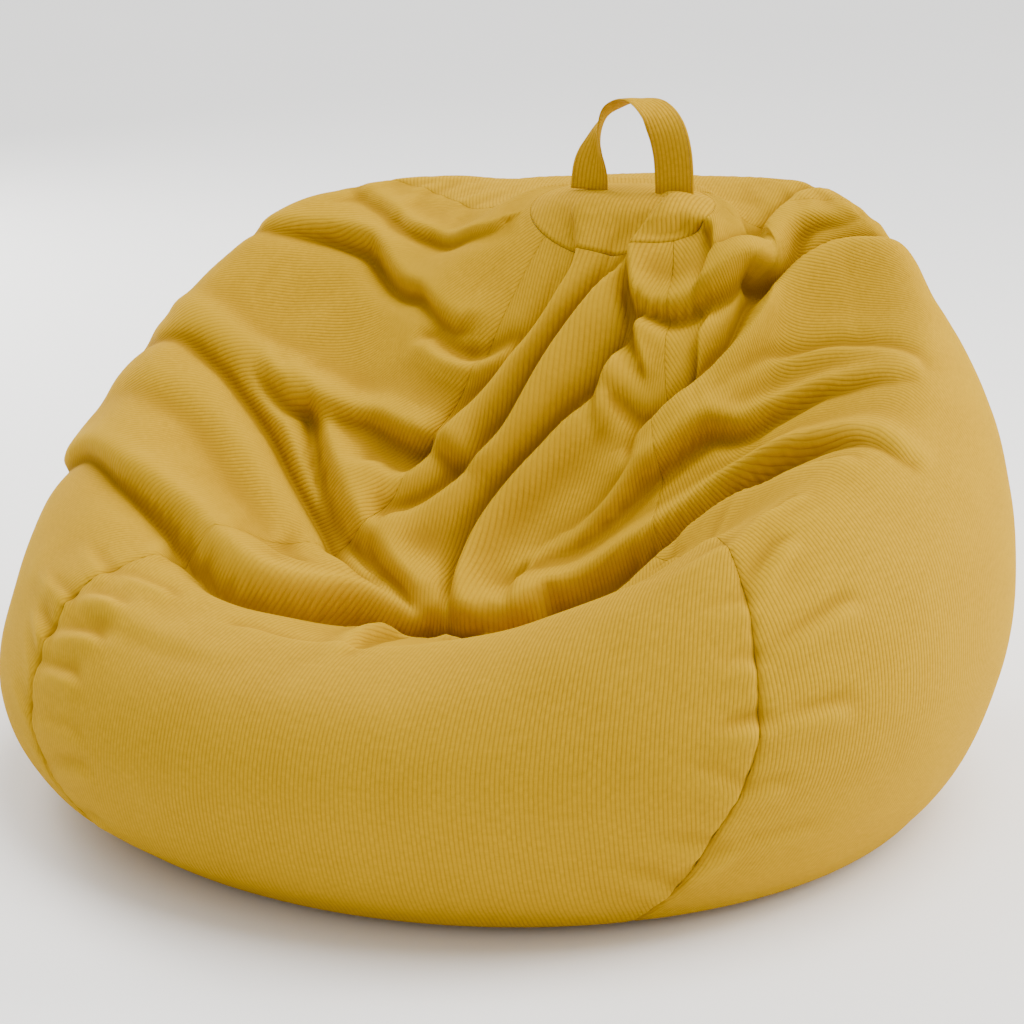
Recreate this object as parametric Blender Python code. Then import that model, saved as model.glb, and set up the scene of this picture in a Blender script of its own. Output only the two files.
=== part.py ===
"""Bean bag chair: a slumped corduroy bag with a seat hollow and a carry strap on top.

Four gores, a two-piece base and a small top cap make the cover. A plain lining bag of the same
cut hangs inside it and holds the bead fill. Each bag opens with a coil zip in its base.

Frame: metres, +Z up, +X to the sitter's left, the chair faces -Y.
Origin: centre of the base, on the floor.
"""

import math

import bmesh
import bpy
import numpy as np

MM = 0.001

# ---------------------------------------------------------------- driving sizes

WIDTH = 1.000            # across the waist
DEPTH = 0.960            # front to back at the waist
BAG_HEIGHT = 0.548       # floor to the top cap
BASE_WIDTH = 0.720       # flat part of the underside
BASE_DEPTH = 0.700
CAP_WIDTH = 0.200        # top cap, which the gores run up to
CAP_DEPTH = 0.120
CAP_X = 0.030            # the top leans a little to one side
CAP_Y = 0.255            # and well to the back

COVER = 1.2 * MM         # corduroy
LINING = 0.8 * MM        # lining cloth
GAP = 0.3 * MM           # between pieces that touch
LINING_DEPTH = 3.4 * MM  # outside of the cover to outside of the lining
FILL_DEPTH = 7.0 * MM    # outside of the cover to the fill
EDGE_INSET = 1.0 * MM    # base plates stop this far inside the gores' lower edges

STRAP_WIDTH = 42 * MM
STRAP_THICK = 3.0 * MM
STRAP_RISE = 0.092       # cap to the top of the strap
STRAP_SPAN = 0.094       # between the centres of its two feet
PATCH_THICK = 1.0 * MM

COVER_ZIP_LENGTH = 0.480
COVER_ZIP_Y = -0.030
COVER_HEM_WIDTH = 9 * MM
COVER_HEM_HEIGHT = 4.0 * MM
LINING_ZIP_LENGTH = 0.420
LINING_ZIP_Y = 0.070
ZIP_SLOT = 7 * MM        # half width of the opening that shows the coils
SEAM_SLIT = 0.25 * MM    # half width of a sewn seam

# ---------------------------------------------------------------- shape of the bag

# Levels 0, 1, 2 ... from the middle of the base up the side, over the crest and in to the cap.
# Sizes are shares of the half width and half depth, heights are shares of the bag height
# in front, at +X, at the back and at -X; shift is the ring's centre towards the back.
HW, HD, H = WIDTH / 2, DEPTH / 2, BAG_HEIGHT
LEVELS = [
    # half width, half depth, shift y, heights front, +X, back, -X
    (0.0, 0.0, 0.0, 0.0, 0.0, 0.0, 0.0),
    (BASE_WIDTH / 2, BASE_DEPTH / 2, 0.0, 0.0, 0.0, 0.0, 0.0),
    (0.890 * HW, 0.900 * HD, 0.0, 0.062 * H, 0.062 * H, 0.062 * H, 0.062 * H),
    (0.990 * HW, 0.990 * HD, 0.0, 0.230 * H, 0.270 * H, 0.275 * H, 0.240 * H),
    (1.000 * HW, 1.000 * HD, 0.0, 0.340 * H, 0.480 * H, 0.470 * H, 0.380 * H),
    (0.940 * HW, 0.940 * HD, 0.010, 0.420 * H, 0.665 * H, 0.710 * H, 0.545 * H),
    (0.790 * HW, 0.820 * HD, 0.040, 0.445 * H, 0.800 * H, 0.900 * H, 0.670 * H),
    (0.600 * HW, 0.650 * HD, 0.090, 0.385 * H, 0.770 * H, 0.975 * H, 0.670 * H),
    (0.430 * HW, 0.480 * HD, 0.120, 0.330 * H, 0.740 * H, 0.990 * H, 0.710 * H),
    (0.300 * HW, 0.300 * HD, 0.190, 0.570 * H, 0.890 * H, 0.998 * H, 0.870 * H),
    (CAP_WIDTH / 2, CAP_DEPTH / 2, CAP_Y, 0.900 * H, 0.975 * H, 0.996 * H, 0.965 * H),
    (0.28 * CAP_WIDTH, 0.26 * CAP_DEPTH, CAP_Y, 0.982 * H, 0.995 * H, 1.000 * H, 0.992 * H),
    (0.0, 0.0, CAP_Y, 1.000 * H, 1.000 * H, 1.000 * H, 1.000 * H),
]
LAST = len(LEVELS) - 1
BASE_LEVEL = 1.0         # edge of the flat base
WAIST_LEVEL = 4.0
CAP_LEVEL = 10.0         # edge of the top cap

# Soft swellings: azimuth, level, spread in azimuth, spread in level, out, up
SWELLINGS = [
    (-125, 6.0, 32, 1.50, 0.030, 0.070),
    (140, 6.4, 22, 1.20, 0.000, 0.030),
    (-60, 2.6, 50, 1.00, 0.030, -0.010),
    (45, 5.5, 24, 0.90, 0.000, 0.035),
]

# Gore seams: azimuth at the waist and at the base, 0 = front, positive towards +X
SEAMS = {"front_right": (45, 34), "back_right": (135, 142), "back_left": (-135, -142), "front_left": (-45, -34)}
GORES = [
    ("front", "front_left", "front_right"),
    ("right", "front_right", "back_right"),
    ("back", "back_right", "back_left"),
    ("left", "back_left", "front_left"),
]
COLUMNS = 8              # facets across a gore
ROW_LEVELS = (           # rows of points that all layers share
    1.1, 1.2, 1.35, 1.55, 1.8, 2.1, 2.5, 3.0, 3.5, 4.0, 4.5, 5.0, 5.5, 6.0, 6.5, 7.0, 7.5, 8.0, 8.5, 9.0, 9.4, 9.75,
)
CAP_RINGS = (10.5, 11.0, 11.6)  # levels of the points inside a cap
PATCH_LEVEL = 10.5       # edge of the patch under the cap
START_CLEAR = 0.04       # levels between a layer's lower edge and its next row of points

CORDUROY = (0.560, 0.345, 0.045)
LINING_WHITE = (0.80, 0.78, 0.74)
BEADS = (0.90, 0.90, 0.89)
ZIP_MUSTARD = (0.480, 0.290, 0.050)
ZIP_WHITE = (0.75, 0.74, 0.71)
NICKEL = (0.62, 0.61, 0.58)


def level_values(level):
    """The row of LEVELS at a level that may lie between two, by a Catmull-Rom curve."""
    rows = np.array(LEVELS)
    place = min(max(level, 0.0), LAST)
    i = min(int(place), LAST - 1)
    f = place - i
    before = rows[i - 1] if i > 0 else 2 * rows[0] - rows[1]
    after = rows[i + 2] if i + 2 <= LAST else 2 * rows[LAST] - rows[LAST - 1]
    a, b = rows[i], rows[i + 1]
    return 0.5 * (
        2 * a + (b - before) * f + (2 * before - 5 * a + 4 * b - after) * f**2
        + (3 * a - before - 3 * b + after) * f**3
    )


def surface(azimuth, level):
    """A point of the cover's outside; azimuth in radians from the front."""
    half_w, half_d, shift, front, right, back, left = level_values(level)
    mean = (front + right + back + left) / 4
    saddle = (front + back - right - left) / 4
    z = (
        mean + (front - back) / 2 * math.cos(azimuth) + (right - left) / 2 * math.sin(azimuth)
        + saddle * math.cos(2 * azimuth)
    )
    out = 0.0
    for at, at_level, spread, spread_level, push, lift in SWELLINGS:
        turn = (azimuth - math.radians(at) + math.pi) % (2 * math.pi) - math.pi
        weight = math.exp(-((turn / math.radians(spread)) ** 2) - ((level - at_level) / spread_level) ** 2)
        out += push * weight
        z += lift * weight
    grow = 1 + out / max(half_w, 0.1)
    x = CAP_X * min(max((level - 5.5) / 4.5, 0.0), 1.0) + half_w * grow * math.sin(azimuth)
    return np.array((x, shift - half_d * grow * math.cos(azimuth), z))


def normal(azimuth, level):
    """The unit normal of the cover there, pointing out."""
    step = 1e-3
    edge = LAST - 0.01
    low, high = min(level, edge) - step, min(level, edge) + step
    around = surface(azimuth + step, min(level, edge)) - surface(azimuth - step, min(level, edge))
    up = surface(azimuth, high) - surface(azimuth, low)
    n = np.cross(around, up)
    return n / np.linalg.norm(n)


def inside(azimuth, level, depth):
    return surface(azimuth, level) - depth * normal(azimuth, level)


def level_at_height(azimuth, depth, height):
    """The lowest level at which the layer at this depth is at this height."""
    low, high = BASE_LEVEL, 2.5
    for _ in range(40):
        middle = (low + high) / 2
        if inside(azimuth, middle, depth)[2] < height:
            low = middle
        else:
            high = middle
    return high


def rows_above(depth, height):
    """The shared rows that lie clear above the lower edge of the layer at this depth."""
    highest = max(level_at_height(azimuth, depth, height) for azimuth in all_azimuths(BASE_LEVEL))
    return [level for level in ROW_LEVELS if level > highest + START_CLEAR] + [CAP_LEVEL]


def seam_azimuth(name, level):
    at_waist, at_base = SEAMS[name]
    share = min(max((level - BASE_LEVEL) / (WAIST_LEVEL - BASE_LEVEL), 0.0), 1.0)
    share = share * share * (3 - 2 * share)
    return math.radians(at_base + (at_waist - at_base) * share)


def gore_rows(starts, top):
    """Levels up each column: its own start, the rows that all layers share, then its own top."""
    shared = [level for level in ROW_LEVELS if level > max(starts) + 0.04]
    return [starts] + [[level] * len(starts) for level in shared] + [top]


def slopes(azimuth, level):
    """Directions in the surface there: towards greater azimuth, and towards the next level."""
    step = 1e-3
    along = surface(azimuth + step, level) - surface(azimuth - step, level)
    up = surface(azimuth, level + step) - surface(azimuth, level - step)
    return along / np.linalg.norm(along), up / np.linalg.norm(up)


def beside(azimuth, level, direction, towards):
    """The unit vector in the surface, square to a direction, on the side that towards points to."""
    side = np.cross(direction, normal(azimuth, level))
    side /= np.linalg.norm(side)
    return side if side @ towards > 0 else -side


def seam_shift(name, level):
    """Half a seam's slit, from the seam towards greater azimuth."""
    azimuth, step = seam_azimuth(name, level), 1e-3
    run = surface(seam_azimuth(name, level + step), level + step) - surface(azimuth, level)
    return SEAM_SLIT * beside(azimuth, level, run, slopes(azimuth, level)[0])


def cap_shift(azimuth):
    """Half the slit of the seam round the cap, from the seam towards the cap's middle."""
    along, up = slopes(azimuth, CAP_LEVEL)
    return SEAM_SLIT * beside(azimuth, CAP_LEVEL, along, up)


def gore_azimuths(start, end, level):
    """Azimuths of the columns across a gore at one level."""
    a, b = seam_azimuth(start, level), seam_azimuth(end, level)
    if b < a:
        b += 2 * math.pi
    return np.linspace(a, b, COLUMNS + 1)


def all_azimuths(level):
    """Azimuths of the columns right round the bag at one level."""
    return [azimuth for _, start, end in GORES for azimuth in gore_azimuths(start, end, level)[:-1]]


# ---------------------------------------------------------------- making objects

def material(name, colour, rough, metallic=0.0):
    found = bpy.data.materials.get(name)
    if found:
        return found
    made = bpy.data.materials.new(name)
    made.use_nodes = True
    shader = made.node_tree.nodes["Principled BSDF"]
    shader.inputs["Base Color"].default_value = (*colour, 1.0)
    shader.inputs["Roughness"].default_value = rough
    shader.inputs["Metallic"].default_value = metallic
    made.diffuse_color = (*colour, 1.0)
    return made


def add_object(name, bm, mat, origin=(0, 0, 0)):
    """An object from a bmesh in world coordinates, with its own origin."""
    bmesh.ops.recalc_face_normals(bm, faces=bm.faces)
    for vert in bm.verts:
        vert.co.x -= origin[0]
        vert.co.y -= origin[1]
        vert.co.z -= origin[2]
    mesh = bpy.data.meshes.new(name)
    bm.to_mesh(mesh)
    bm.free()
    mesh.materials.append(mat)
    obj = bpy.data.objects.new(name, mesh)
    obj.location = origin
    bpy.context.scene.collection.objects.link(obj)
    return obj


def cloth_patch(bm, outer, inner):
    """A closed sheet between two grids of points with the same rows and columns."""
    rows, cols = len(outer), len(outer[0])
    sides = []
    for grid in (outer, inner):
        sides.append([[bm.verts.new(p) for p in row] for row in grid])
    for grid, flip in zip(sides, (False, True)):
        for r in range(rows - 1):
            for c in range(cols - 1):
                a, b = grid[r][c], grid[r][c + 1]
                d, e = grid[r + 1][c], grid[r + 1][c + 1]
                triangles = ((a, b, e), (a, e, d))
                for tri in triangles:
                    bm.faces.new(tri[::-1] if flip else tri)
    rim = [(0, c) for c in range(cols)] + [(r, cols - 1) for r in range(1, rows)]
    rim += [(rows - 1, c) for c in range(cols - 2, -1, -1)] + [(r, 0) for r in range(rows - 2, 0, -1)]
    for here, there in zip(rim, rim[1:] + rim[:1]):
        out_a, in_a = (side[here[0]][here[1]] for side in sides)
        out_b, in_b = (side[there[0]][there[1]] for side in sides)
        if here < there:
            # the same diagonal on both sides of a seam keeps the two edges parallel
            bm.faces.new((out_a, in_a, in_b))
            bm.faces.new((out_a, in_b, out_b))
        else:
            bm.faces.new((out_a, in_a, out_b))
            bm.faces.new((in_a, in_b, out_b))


def extruded(name, outline, z_low, z_high, mat, origin=(0, 0, 0)):
    """A flat plate from a closed outline of (x, y) points."""
    bm = bmesh.new()
    low = [bm.verts.new((x, y, z_low)) for x, y in outline]
    high = [bm.verts.new((x, y, z_high)) for x, y in outline]
    bm.faces.new(low[::-1])
    bm.faces.new(high)
    for i in range(len(outline)):
        j = (i + 1) % len(outline)
        bm.faces.new((low[i], low[j], high[j], high[i]))
    return add_object(name, bm, mat, origin)


def box(x_low, x_high, y_low, y_high):
    return [(x_low, y_low), (x_high, y_low), (x_high, y_high), (x_low, y_high)]


def hide(obj):
    obj.hide_render = True
    obj.display_type = "WIRE"


def boolean(obj, tool, operation):
    hide(tool)
    cut = obj.modifiers.new(operation.lower(), "BOOLEAN")
    cut.operation = operation
    cut.solver = "EXACT"
    cut.object = tool


# ---------------------------------------------------------------- the two bags

def gore(name, start, end, depth, thick, bottom, mat):
    """One gore of a bag, from its lower edge up to the cap's edge."""
    columns = range(COLUMNS + 1)
    starts = [level_at_height(azimuth, depth, bottom) for azimuth in gore_azimuths(start, end, BASE_LEVEL)]
    levels = [starts] + [[level] * len(starts) for level in rows_above(depth, bottom)]
    outer, inner = [], []
    for row in levels:
        azimuths = [gore_azimuths(start, end, row[c])[c] for c in columns]
        shifts = [np.zeros(3) for _ in columns]
        shifts[0] = seam_shift(start, row[0])
        shifts[-1] = -seam_shift(end, row[-1])
        if row is levels[-1]:
            shifts = [shifts[c] - cap_shift(azimuths[c]) for c in columns]
        outer.append([inside(azimuths[c], row[c], depth) + shifts[c] for c in columns])
        inner.append([inside(azimuths[c], row[c], depth + thick) + shifts[c] for c in columns])
    bm = bmesh.new()
    cloth_patch(bm, outer, inner)
    return add_object(name, bm, mat)


def ring(level, depth):
    """Points right round the bag at one level and depth."""
    return [inside(azimuth, level, depth) for azimuth in all_azimuths(level)]


def bottom_ring(depth, height, inset):
    """The outline of a base plate: just inside the gores' lower edges."""
    outline = []
    for azimuth in all_azimuths(BASE_LEVEL):
        x, y, _ = inside(azimuth, level_at_height(azimuth, depth, height), depth)
        outline.append((x - inset * math.sin(azimuth), y + inset * math.cos(azimuth)))
    return outline


def disc(name, depth, thick, level, mat):
    """A cap that follows the bag's top inside one level, less half a seam."""
    bm = bmesh.new()
    faces = []
    for at in (depth, depth + thick):
        edge = [p + cap_shift(azimuth) for azimuth, p in zip(all_azimuths(level), ring(level, at))]
        rings = [[bm.verts.new(p) for p in edge]]
        rings += [[bm.verts.new(p) for p in ring(here, at)] for here in CAP_RINGS if here > level + 0.1]
        centre = bm.verts.new(inside(0.0, LAST, at))
        faces.append(rings[0])
        count = len(rings[0])
        for low, high in zip(rings, rings[1:]):
            for i in range(count):
                j = (i + 1) % count
                bm.faces.new((low[i], low[j], high[j]))
                bm.faces.new((low[i], high[j], high[i]))
        for i in range(count):
            bm.faces.new((rings[-1][i], rings[-1][(i + 1) % count], centre))
    for i in range(len(faces[0])):
        j = (i + 1) % len(faces[0])
        bm.faces.new((faces[0][i], faces[1][i], faces[1][j]))
        bm.faces.new((faces[0][i], faces[1][j], faces[0][j]))
    return add_object(name, bm, mat)


def base_half(name, outline, z_low, z_high, zip_y, zip_length, side, hem, mat):
    """One half of a base, on one side (-1 front, +1 back) of its zip. hem is (width, height) or None."""
    plate = extruded(name, outline, z_low, z_high, mat)
    end = zip_length / 2 + 10 * MM
    if hem:
        reach = ZIP_SLOT + hem[0]
        band = box(-end - hem[0], end + hem[0], zip_y - reach, zip_y + reach)
        # the band reaches a little into the plate, so that the two become one body
        boolean(plate, extruded(name + "_hem_tool", band, z_low + 0.2 * MM, z_low + hem[1], mat), "UNION")
    far = side * -2.0
    seam, slot = zip_y + side * SEAM_SLIT, zip_y + side * ZIP_SLOT
    cutter = [(-2, far), (-2, seam), (-end, seam), (-end, slot), (end, slot), (end, seam), (2, seam), (2, far)]
    boolean(plate, extruded(name + "_cut_tool", cutter[::side], -0.05, 0.05, mat), "DIFFERENCE")
    return plate


def make_bag(prefix, depth, thick, base_low, base_high, zip_y, zip_length, hem, mat):
    """Gores, cap and base of one bag."""
    for name, start, end in GORES:
        gore(f"{prefix}{name}_panel", start, end, depth, thick, base_low + 0.5 * MM, mat)
    disc(f"{prefix}top_cap", depth, thick, CAP_LEVEL, mat)
    outline = bottom_ring(depth, base_low + 0.5 * MM, EDGE_INSET)
    for side, word in ((-1, "front"), (1, "back")):
        name = f"{prefix}base_{word}_panel"
        base_half(name, outline, base_low, base_high, zip_y, zip_length, side, hem, mat)


def make_fill(bottom):
    """The bead fill: one closed body with a flat underside."""
    bm = bmesh.new()
    starts = [(azimuth, level_at_height(azimuth, FILL_DEPTH, bottom)) for azimuth in all_azimuths(BASE_LEVEL)]
    rings = [[bm.verts.new(inside(azimuth, level, FILL_DEPTH)) for azimuth, level in starts]]
    rings += [[bm.verts.new(p) for p in ring(level, FILL_DEPTH)] for level in rows_above(FILL_DEPTH, bottom)]
    rings += [[bm.verts.new(p) for p in ring(level, FILL_DEPTH)] for level in CAP_RINGS]
    count = len(rings[0])
    for low, high in zip(rings, rings[1:]):
        for i in range(count):
            j = (i + 1) % count
            bm.faces.new((low[i], low[j], high[j]))
            bm.faces.new((low[i], high[j], high[i]))
    for vert in rings[0]:
        vert.co.z = bottom
    low_centre = bm.verts.new((0, 0, bottom))
    high_centre = bm.verts.new(inside(0.0, LAST, FILL_DEPTH))
    for i in range(count):
        j = (i + 1) % count
        bm.faces.new((rings[0][j], rings[0][i], low_centre))
        bm.faces.new((rings[-1][i], rings[-1][j], high_centre))
    add_object("bead_fill", bm, material("polystyrene beads", BEADS, 0.9))


# ---------------------------------------------------------------- zips

def make_zip(prefix, y, length, tape_low, tape_thick, coil_height, plate_thick, tape_mat, coil_mat, metal):
    """A straight coil zip along X: two tapes, two coils, stops and a locking slider with no pull."""
    split = 0.75 * MM
    coil_out = 3.0 * MM
    tape_out = 16 * MM
    tape_end = length / 2 + 16 * MM
    stop = 4 * MM
    coil_high = tape_low - GAP
    coil_low = coil_high - coil_height
    for side, word in ((-1, "front"), (1, "back")):
        tape = box(-tape_end, tape_end, *sorted((y + side * split, y + side * tape_out)))
        extruded(f"{prefix}zip_tape_{word}", tape, tape_low, tape_low + tape_thick, tape_mat)
        coil = box(-length / 2, length / 2, *sorted((y + side * split, y + side * coil_out)))
        extruded(f"{prefix}zip_coil_{word}", coil, coil_low, coil_high, coil_mat)
    for side, word in ((-1, "front"), (1, "back")):
        crimp = box(length / 2 + GAP, length / 2 + stop, *sorted((y + side * split, y + side * coil_out)))
        extruded(f"{prefix}zip_top_stop_{word}", crimp, coil_low, coil_high, metal)
    bar = box(-length / 2 - stop, -length / 2 - GAP, y - coil_out, y + coil_out)
    extruded(f"{prefix}zip_bottom_stop", bar, coil_low, coil_high, metal)
    make_slider(f"{prefix}zip_slider", y, length, coil_low, tape_low + tape_thick, plate_thick, metal)


def make_slider(name, y, length, coil_low, tape_high, plate_thick, metal):
    """Two shield-shaped plates joined by a thin post that runs between the coils."""
    slider_length = 10 * MM
    nose = 4.6 * MM
    tail = 3.4 * MM
    post = 0.45 * MM
    x = length / 2 - slider_length / 2 - GAP
    front, back = x + slider_length / 2, x - slider_length / 2
    shield = [
        (back, y - tail), (front - 3 * MM, y - nose), (front, y - 0.6 * nose),
        (front, y + 0.6 * nose), (front - 3 * MM, y + nose), (back, y + tail),
    ]
    under, over = coil_low - GAP, tape_high + GAP
    origin = (x, y, (under + over) / 2)
    body = extruded(name, shield, under - plate_thick, under, metal, origin)
    upper = extruded(name + "_upper_tool", shield, over, over + 0.8 * plate_thick, metal)
    stem = extruded(
        name + "_post_tool", box(front - 4 * MM, front - 1 * MM, y - post, y + post),
        under - 0.2 * MM, over + 0.2 * MM, metal,
    )
    # the crown and lock spring stand on the outer plate, where a pull would hang
    crown = extruded(
        name + "_crown_tool", box(x - 2.5 * MM, x + 2.5 * MM, y - 1.1 * MM, y + 1.1 * MM),
        under - plate_thick - 0.5 * MM, under - 0.2 * MM, metal,
    )
    boolean(body, stem, "UNION")
    boolean(body, upper, "UNION")
    boolean(body, crown, "UNION")


# ---------------------------------------------------------------- carry strap

# The strap's middle line, left foot to right foot: share of the span from the left foot,
# share of the rise, shift towards the back, and how far its face turns from "outwards" (degrees).
STRAP_ROUTE = [
    (0.000, 0.000, 0.000, -88),
    (0.005, 0.220, 0.000, -80),
    (0.010, 0.440, 0.001, -58),
    (0.035, 0.700, 0.002, -16),
    (0.220, 0.900, 0.002, 4),
    (0.480, 1.000, 0.000, -6),
    (0.740, 0.920, -0.002, -38),
    (0.890, 0.720, -0.002, -66),
    (0.965, 0.480, -0.001, -78),
    (0.990, 0.240, 0.000, -85),
    (1.000, 0.000, 0.000, -88),
]
STRAP_STEPS = 36
STRAP_FOOT_Z = BAG_HEIGHT + 2.2 * MM


def curve_through(rows, share):
    """Catmull-Rom through evenly spaced rows, at a share from 0 to 1."""
    last = len(rows) - 1
    place = share * last
    i = min(int(place), last - 1)
    f = place - i
    a, b = rows[i], rows[i + 1]
    before = rows[i - 1] if i > 0 else 2 * a - b
    after = rows[i + 2] if i + 2 <= last else 2 * b - a
    return 0.5 * (
        2 * a + (b - before) * f + (2 * before - 5 * a + 4 * b - after) * f**2
        + (3 * a - before - 3 * b + after) * f**3
    )


def make_strap(mat):
    """A flat ribbon that stands in a loop over the cap, both feet facing the front."""
    route = np.array(STRAP_ROUTE)
    left = CAP_X + 7 * MM - STRAP_SPAN / 2
    rows = np.column_stack((
        left + STRAP_SPAN * route[:, 0], CAP_Y + 0.012 + route[:, 2],
        STRAP_FOOT_Z + (STRAP_RISE - 2 * MM) * route[:, 1], route[:, 3],
    ))
    bm = bmesh.new()
    sections = []
    for step in range(STRAP_STEPS + 1):
        share = step / STRAP_STEPS
        here = curve_through(rows, share)
        ahead = curve_through(rows, min(share + 0.004, 1.0)) - curve_through(rows, max(share - 0.004, 0.0))
        tangent = ahead[:3] / np.linalg.norm(ahead[:3])
        if step in (0, STRAP_STEPS):
            tangent = np.array((0, 0, 1.0 if step == 0 else -1.0))
        across = np.array((0, 1.0, 0))
        outward = np.cross(across, tangent)
        outward /= np.linalg.norm(outward)
        across = np.cross(tangent, outward)
        turn = math.radians(here[3])
        face = -outward * math.cos(turn) + across * math.sin(turn)
        wide = np.cross(tangent, face)
        ring_points = []
        for u, v in ((-1, -1), (1, -1), (1, 1), (-1, 1)):
            ring_points.append(here[:3] + wide * u * STRAP_WIDTH / 2 + face * v * STRAP_THICK / 2)
        sections.append([bm.verts.new(p) for p in ring_points])
    bm.faces.new(sections[0])
    bm.faces.new(sections[-1][::-1])
    for low, high in zip(sections, sections[1:]):
        for i in range(4):
            j = (i + 1) % 4
            bm.faces.new((low[i], low[j], high[j]))
            bm.faces.new((low[i], high[j], high[i]))
    return add_object("carry_strap", bm, mat, (CAP_X, CAP_Y + 0.012, BAG_HEIGHT + 1 * MM))


# ---------------------------------------------------------------- the chair

def main():
    for obj in list(bpy.data.objects):
        bpy.data.objects.remove(obj, do_unlink=True)
    corduroy = material("mustard corduroy", CORDUROY, 0.85)
    lining = material("white lining cloth", LINING_WHITE, 0.9)
    metal = material("nickel", NICKEL, 0.35, 0.9)
    hem = (COVER_HEM_WIDTH, COVER_HEM_HEIGHT)
    cover_tape = COVER_HEM_HEIGHT + GAP
    lining_base = cover_tape + 0.7 * MM + GAP + 1.0 * MM + GAP
    lining_tape = lining_base + LINING + GAP
    make_bag("cover_", 0.0, COVER, 0.0, COVER, COVER_ZIP_Y, COVER_ZIP_LENGTH, hem, corduroy)
    make_bag(
        "lining_", LINING_DEPTH, LINING, lining_base, lining_base + LINING,
        LINING_ZIP_Y, LINING_ZIP_LENGTH, None, lining,
    )
    make_zip(
        "cover_", COVER_ZIP_Y, COVER_ZIP_LENGTH, cover_tape, 0.7 * MM, 1.4 * MM, 1.2 * MM,
        material("mustard zip tape", ZIP_MUSTARD, 0.8), material("mustard zip coil", ZIP_MUSTARD, 0.45), metal,
    )
    make_zip(
        "lining_", LINING_ZIP_Y, LINING_ZIP_LENGTH, lining_tape, 0.6 * MM, 1.2 * MM, 1.0 * MM,
        material("white zip tape", ZIP_WHITE, 0.8), material("white zip coil", ZIP_WHITE, 0.45), metal,
    )
    make_fill(lining_tape + 0.6 * MM + GAP + 0.8 * MM + 0.4 * MM)
    disc("strap_anchor_patch", COVER + GAP, PATCH_THICK, PATCH_LEVEL, corduroy)
    make_strap(corduroy)


main()
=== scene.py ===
"""Looks of the bean bag chair: folded corduroy cover, carry strap, zips, lining and bead fill.

Laid out as an add-on: one operator for each group of pieces, a panel that lists them, and main(),
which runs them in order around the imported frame. Metres, +Z up, the chair faces -Y.
"""

import math

import bmesh
import bpy
import numpy as np
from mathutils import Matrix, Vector


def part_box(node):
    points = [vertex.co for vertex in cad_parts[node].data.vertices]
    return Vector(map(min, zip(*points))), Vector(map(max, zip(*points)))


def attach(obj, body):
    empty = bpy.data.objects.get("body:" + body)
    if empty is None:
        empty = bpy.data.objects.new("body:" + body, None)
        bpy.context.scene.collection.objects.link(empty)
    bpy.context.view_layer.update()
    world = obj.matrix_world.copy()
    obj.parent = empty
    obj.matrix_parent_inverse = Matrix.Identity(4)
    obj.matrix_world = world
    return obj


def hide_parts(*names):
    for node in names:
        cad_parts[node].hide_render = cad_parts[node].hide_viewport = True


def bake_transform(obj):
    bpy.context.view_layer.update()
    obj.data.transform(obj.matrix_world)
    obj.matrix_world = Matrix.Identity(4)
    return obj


bl_info = {
    "name": "Bean Bag Chair",
    "version": (1, 0, 0),
    "blender": (4, 5, 0),
    "location": "3D View > Sidebar > Bean Bag",
    "description": "Makes a slumped corduroy bean bag chair with a carry strap",
    "category": "Object",
}

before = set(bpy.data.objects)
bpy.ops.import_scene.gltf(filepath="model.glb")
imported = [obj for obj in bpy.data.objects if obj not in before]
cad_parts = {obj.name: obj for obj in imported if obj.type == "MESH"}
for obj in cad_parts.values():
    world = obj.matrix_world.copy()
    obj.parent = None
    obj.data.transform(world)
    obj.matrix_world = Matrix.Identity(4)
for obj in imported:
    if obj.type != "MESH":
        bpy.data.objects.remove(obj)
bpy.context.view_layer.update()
MM = 0.001

# ---------------------------------------------------------------- shape of the bag

BAG_HIGH = 0.548
HALF_WIDTH, HALF_DEPTH = 0.500, 0.480
CAP_X, CAP_Y = 0.030, 0.255
HW, HD, H = HALF_WIDTH, HALF_DEPTH, BAG_HIGH

# Levels 0, 1, 2 ... from the middle of the base up the side, over the crest and in to the cap:
# half width, half depth, shift towards the back, heights in front, at +X, at the back, at -X
LEVELS = np.array([
    (0.0, 0.0, 0.0, 0.0, 0.0, 0.0, 0.0),
    (0.360, 0.350, 0.0, 0.0, 0.0, 0.0, 0.0),
    (0.890 * HW, 0.900 * HD, 0.0, 0.062 * H, 0.062 * H, 0.062 * H, 0.062 * H),
    (0.990 * HW, 0.990 * HD, 0.0, 0.230 * H, 0.270 * H, 0.275 * H, 0.240 * H),
    (1.000 * HW, 1.000 * HD, 0.0, 0.340 * H, 0.480 * H, 0.470 * H, 0.380 * H),
    (0.940 * HW, 0.940 * HD, 0.010, 0.420 * H, 0.665 * H, 0.710 * H, 0.545 * H),
    (0.790 * HW, 0.820 * HD, 0.040, 0.445 * H, 0.800 * H, 0.900 * H, 0.670 * H),
    (0.600 * HW, 0.650 * HD, 0.090, 0.385 * H, 0.770 * H, 0.975 * H, 0.670 * H),
    (0.430 * HW, 0.480 * HD, 0.120, 0.330 * H, 0.740 * H, 0.990 * H, 0.710 * H),
    (0.300 * HW, 0.300 * HD, 0.190, 0.570 * H, 0.890 * H, 0.998 * H, 0.870 * H),
    (0.100, 0.060, CAP_Y, 0.900 * H, 0.975 * H, 0.996 * H, 0.965 * H),
    (0.056, 0.0312, CAP_Y, 0.982 * H, 0.995 * H, 1.000 * H, 0.992 * H),
    (0.0, 0.0, CAP_Y, 1.000 * H, 1.000 * H, 1.000 * H, 1.000 * H),
])
LAST = len(LEVELS) - 1
BASE_LEVEL, WAIST_LEVEL, CAP_LEVEL = 1.0, 4.0, 10.0

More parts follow.
